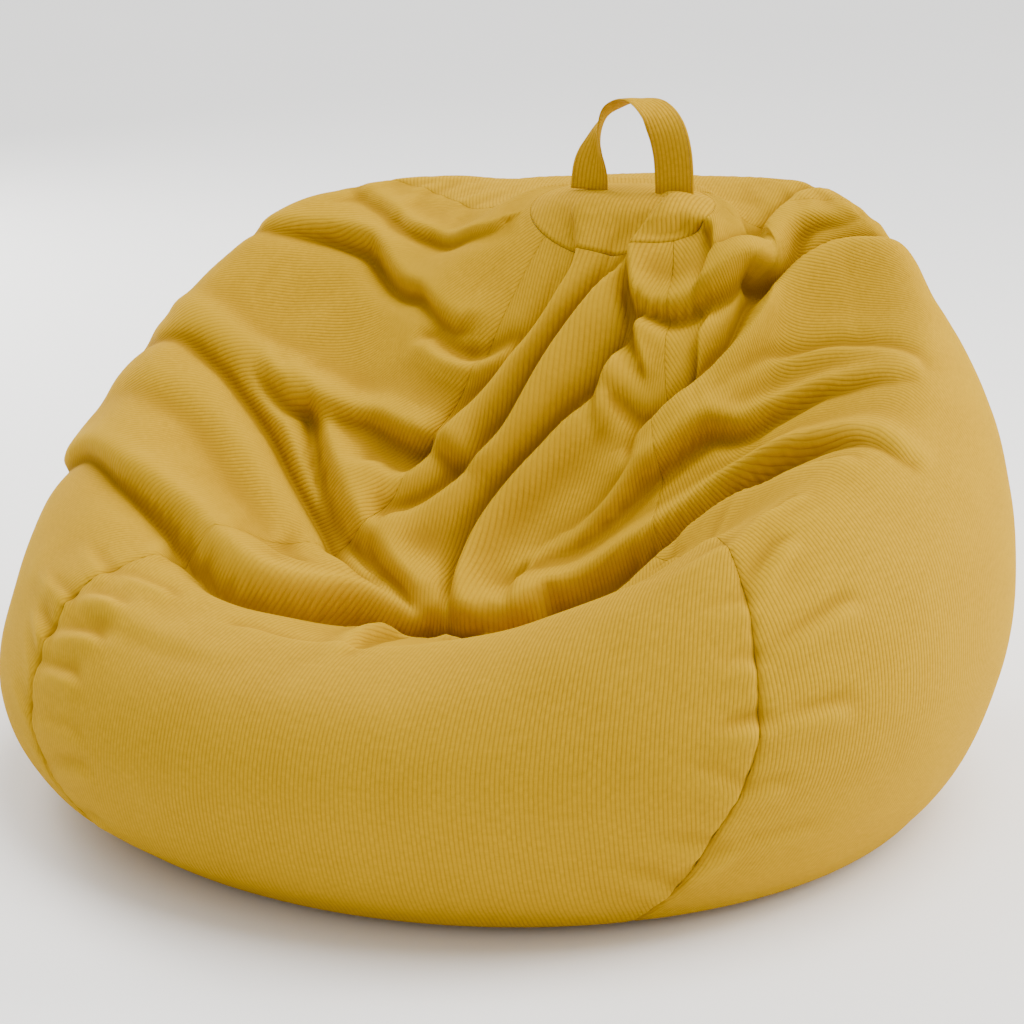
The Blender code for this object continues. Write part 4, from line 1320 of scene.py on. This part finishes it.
class BEANBAG_OT_stage(bpy.types.Operator):
    """Lay the pale floor and set soft studio light round the chair"""

    bl_idname = "bean_bag.stage"
    bl_label = "Stage"

    def execute(self, context):
        stage = context.scene.bean_bag_stage
        bm = bmesh.new()
        bmesh.ops.create_grid(bm, x_segments=24, y_segments=24, size=12)
        for vert in bm.verts:
            vert.co.z = -0.0006
        mesh = bpy.data.meshes.new("studio_floor")
        bm.to_mesh(mesh)
        bm.free()
        floor = link_object("studio_floor", mesh)
        floor.data.materials.append(floor_material("pale studio floor", stage.floor))
        for name, place, aim, wide, high, power, tint in STUDIO_LIGHTS:
            light = bpy.data.lights.new(name, "AREA")
            light.shape, light.size, light.size_y = "RECTANGLE", wide, high
            light.energy, light.color = power, tint
            lamp = link_object(name, light)
            lamp.location = place
            lamp.rotation_euler = (Vector(aim) - Vector(place)).to_track_quat("-Z", "Y").to_euler()
        sun = bpy.data.lights.new("skylight", "SUN")
        sun.energy, sun.angle, sun.color = SKY_STRENGTH, SKY_ANGLE, (1, 0.985, 0.96)
        lamp = link_object("skylight", sun)
        lamp.rotation_euler = SKY_DIRECTION.to_track_quat("-Z", "Y").to_euler()
        world = bpy.data.worlds.new("studio air")
        world.use_nodes = True
        air = world.node_tree.nodes["Background"]
        air.inputs[0].default_value = (1.0, 1.0, 1.0, 1)
        air.inputs[1].default_value = AIR_STRENGTH
        context.scene.world = world
        return {"FINISHED"}


# Name, place, aim, width, height, watts, colour
STUDIO_LIGHTS = [
    ("overhead softbox", (-0.6, -0.4, 3.2), (0, 0, 0.3), 2.6, 2.6, 30, (1, 0.99, 0.97)),
    ("left back strip", (-2.4, 1.5, 1.4), (0, 0, 0.3), 1.0, 2.4, 86, (1, 0.98, 0.95)),
    ("right back strip", (2.6, 1.2, 1.3), (0, 0, 0.3), 1.0, 2.4, 108, (1, 0.98, 0.95)),
    ("front fill", (0.6, -3.6, 1.8), (0, 0, 0.3), 3.0, 2.0, 10, (1, 1, 1)),
]
SKY_STRENGTH, SKY_ANGLE, SKY_DIRECTION = 3.4, math.radians(40), Vector((-0.30, -0.12, -1.0))
AIR_STRENGTH = 0.75


class BEANBAG_PT_panel(bpy.types.Panel):
    """Sizes, colours and makers of the bean bag chair"""

    bl_idname = "BEANBAG_PT_panel"
    bl_label = "Bean Bag Chair"
    bl_space_type = "VIEW_3D"
    bl_region_type = "UI"
    bl_category = "Bean Bag"

    def draw(self, context):
        for group, operators in PANEL_ROWS:
            box = self.layout.box()
            settings = getattr(context.scene, group)
            for key in settings.__annotations__:
                box.prop(settings, key)
            for operator in operators:
                box.operator(operator.bl_idname)


GROUPS = {
    "bean_bag_cover": BeanBagCover, "bean_bag_strap": BeanBagStrap, "bean_bag_inside": BeanBagInside,
    "bean_bag_zips": BeanBagZips, "bean_bag_stage": BeanBagStage,
}
PANEL_ROWS = [
    ("bean_bag_cover", (BEANBAG_OT_cover, BEANBAG_OT_base)),
    ("bean_bag_strap", (BEANBAG_OT_strap,)),
    ("bean_bag_inside", (BEANBAG_OT_lining, BEANBAG_OT_fill)),
    ("bean_bag_zips", (BEANBAG_OT_zips,)),
    ("bean_bag_stage", (BEANBAG_OT_camera, BEANBAG_OT_stage)),
]
OPERATORS = [operator for _, operators in PANEL_ROWS for operator in operators]
CLASSES = [*GROUPS.values(), *OPERATORS, BEANBAG_PT_panel]


def register():
    for cls in CLASSES:
        bpy.utils.register_class(cls)
    for name, group in GROUPS.items():
        setattr(bpy.types.Scene, name, bpy.props.PointerProperty(type=group))


def unregister():
    for name in GROUPS:
        delattr(bpy.types.Scene, name)
    for cls in reversed(CLASSES):
        bpy.utils.unregister_class(cls)


def main():
    register()
    for make in ("camera", "cover", "base", "strap", "lining", "fill", "zips", "stage"):
        getattr(bpy.ops.bean_bag, make)()


if __name__ == "__main__":
    main()
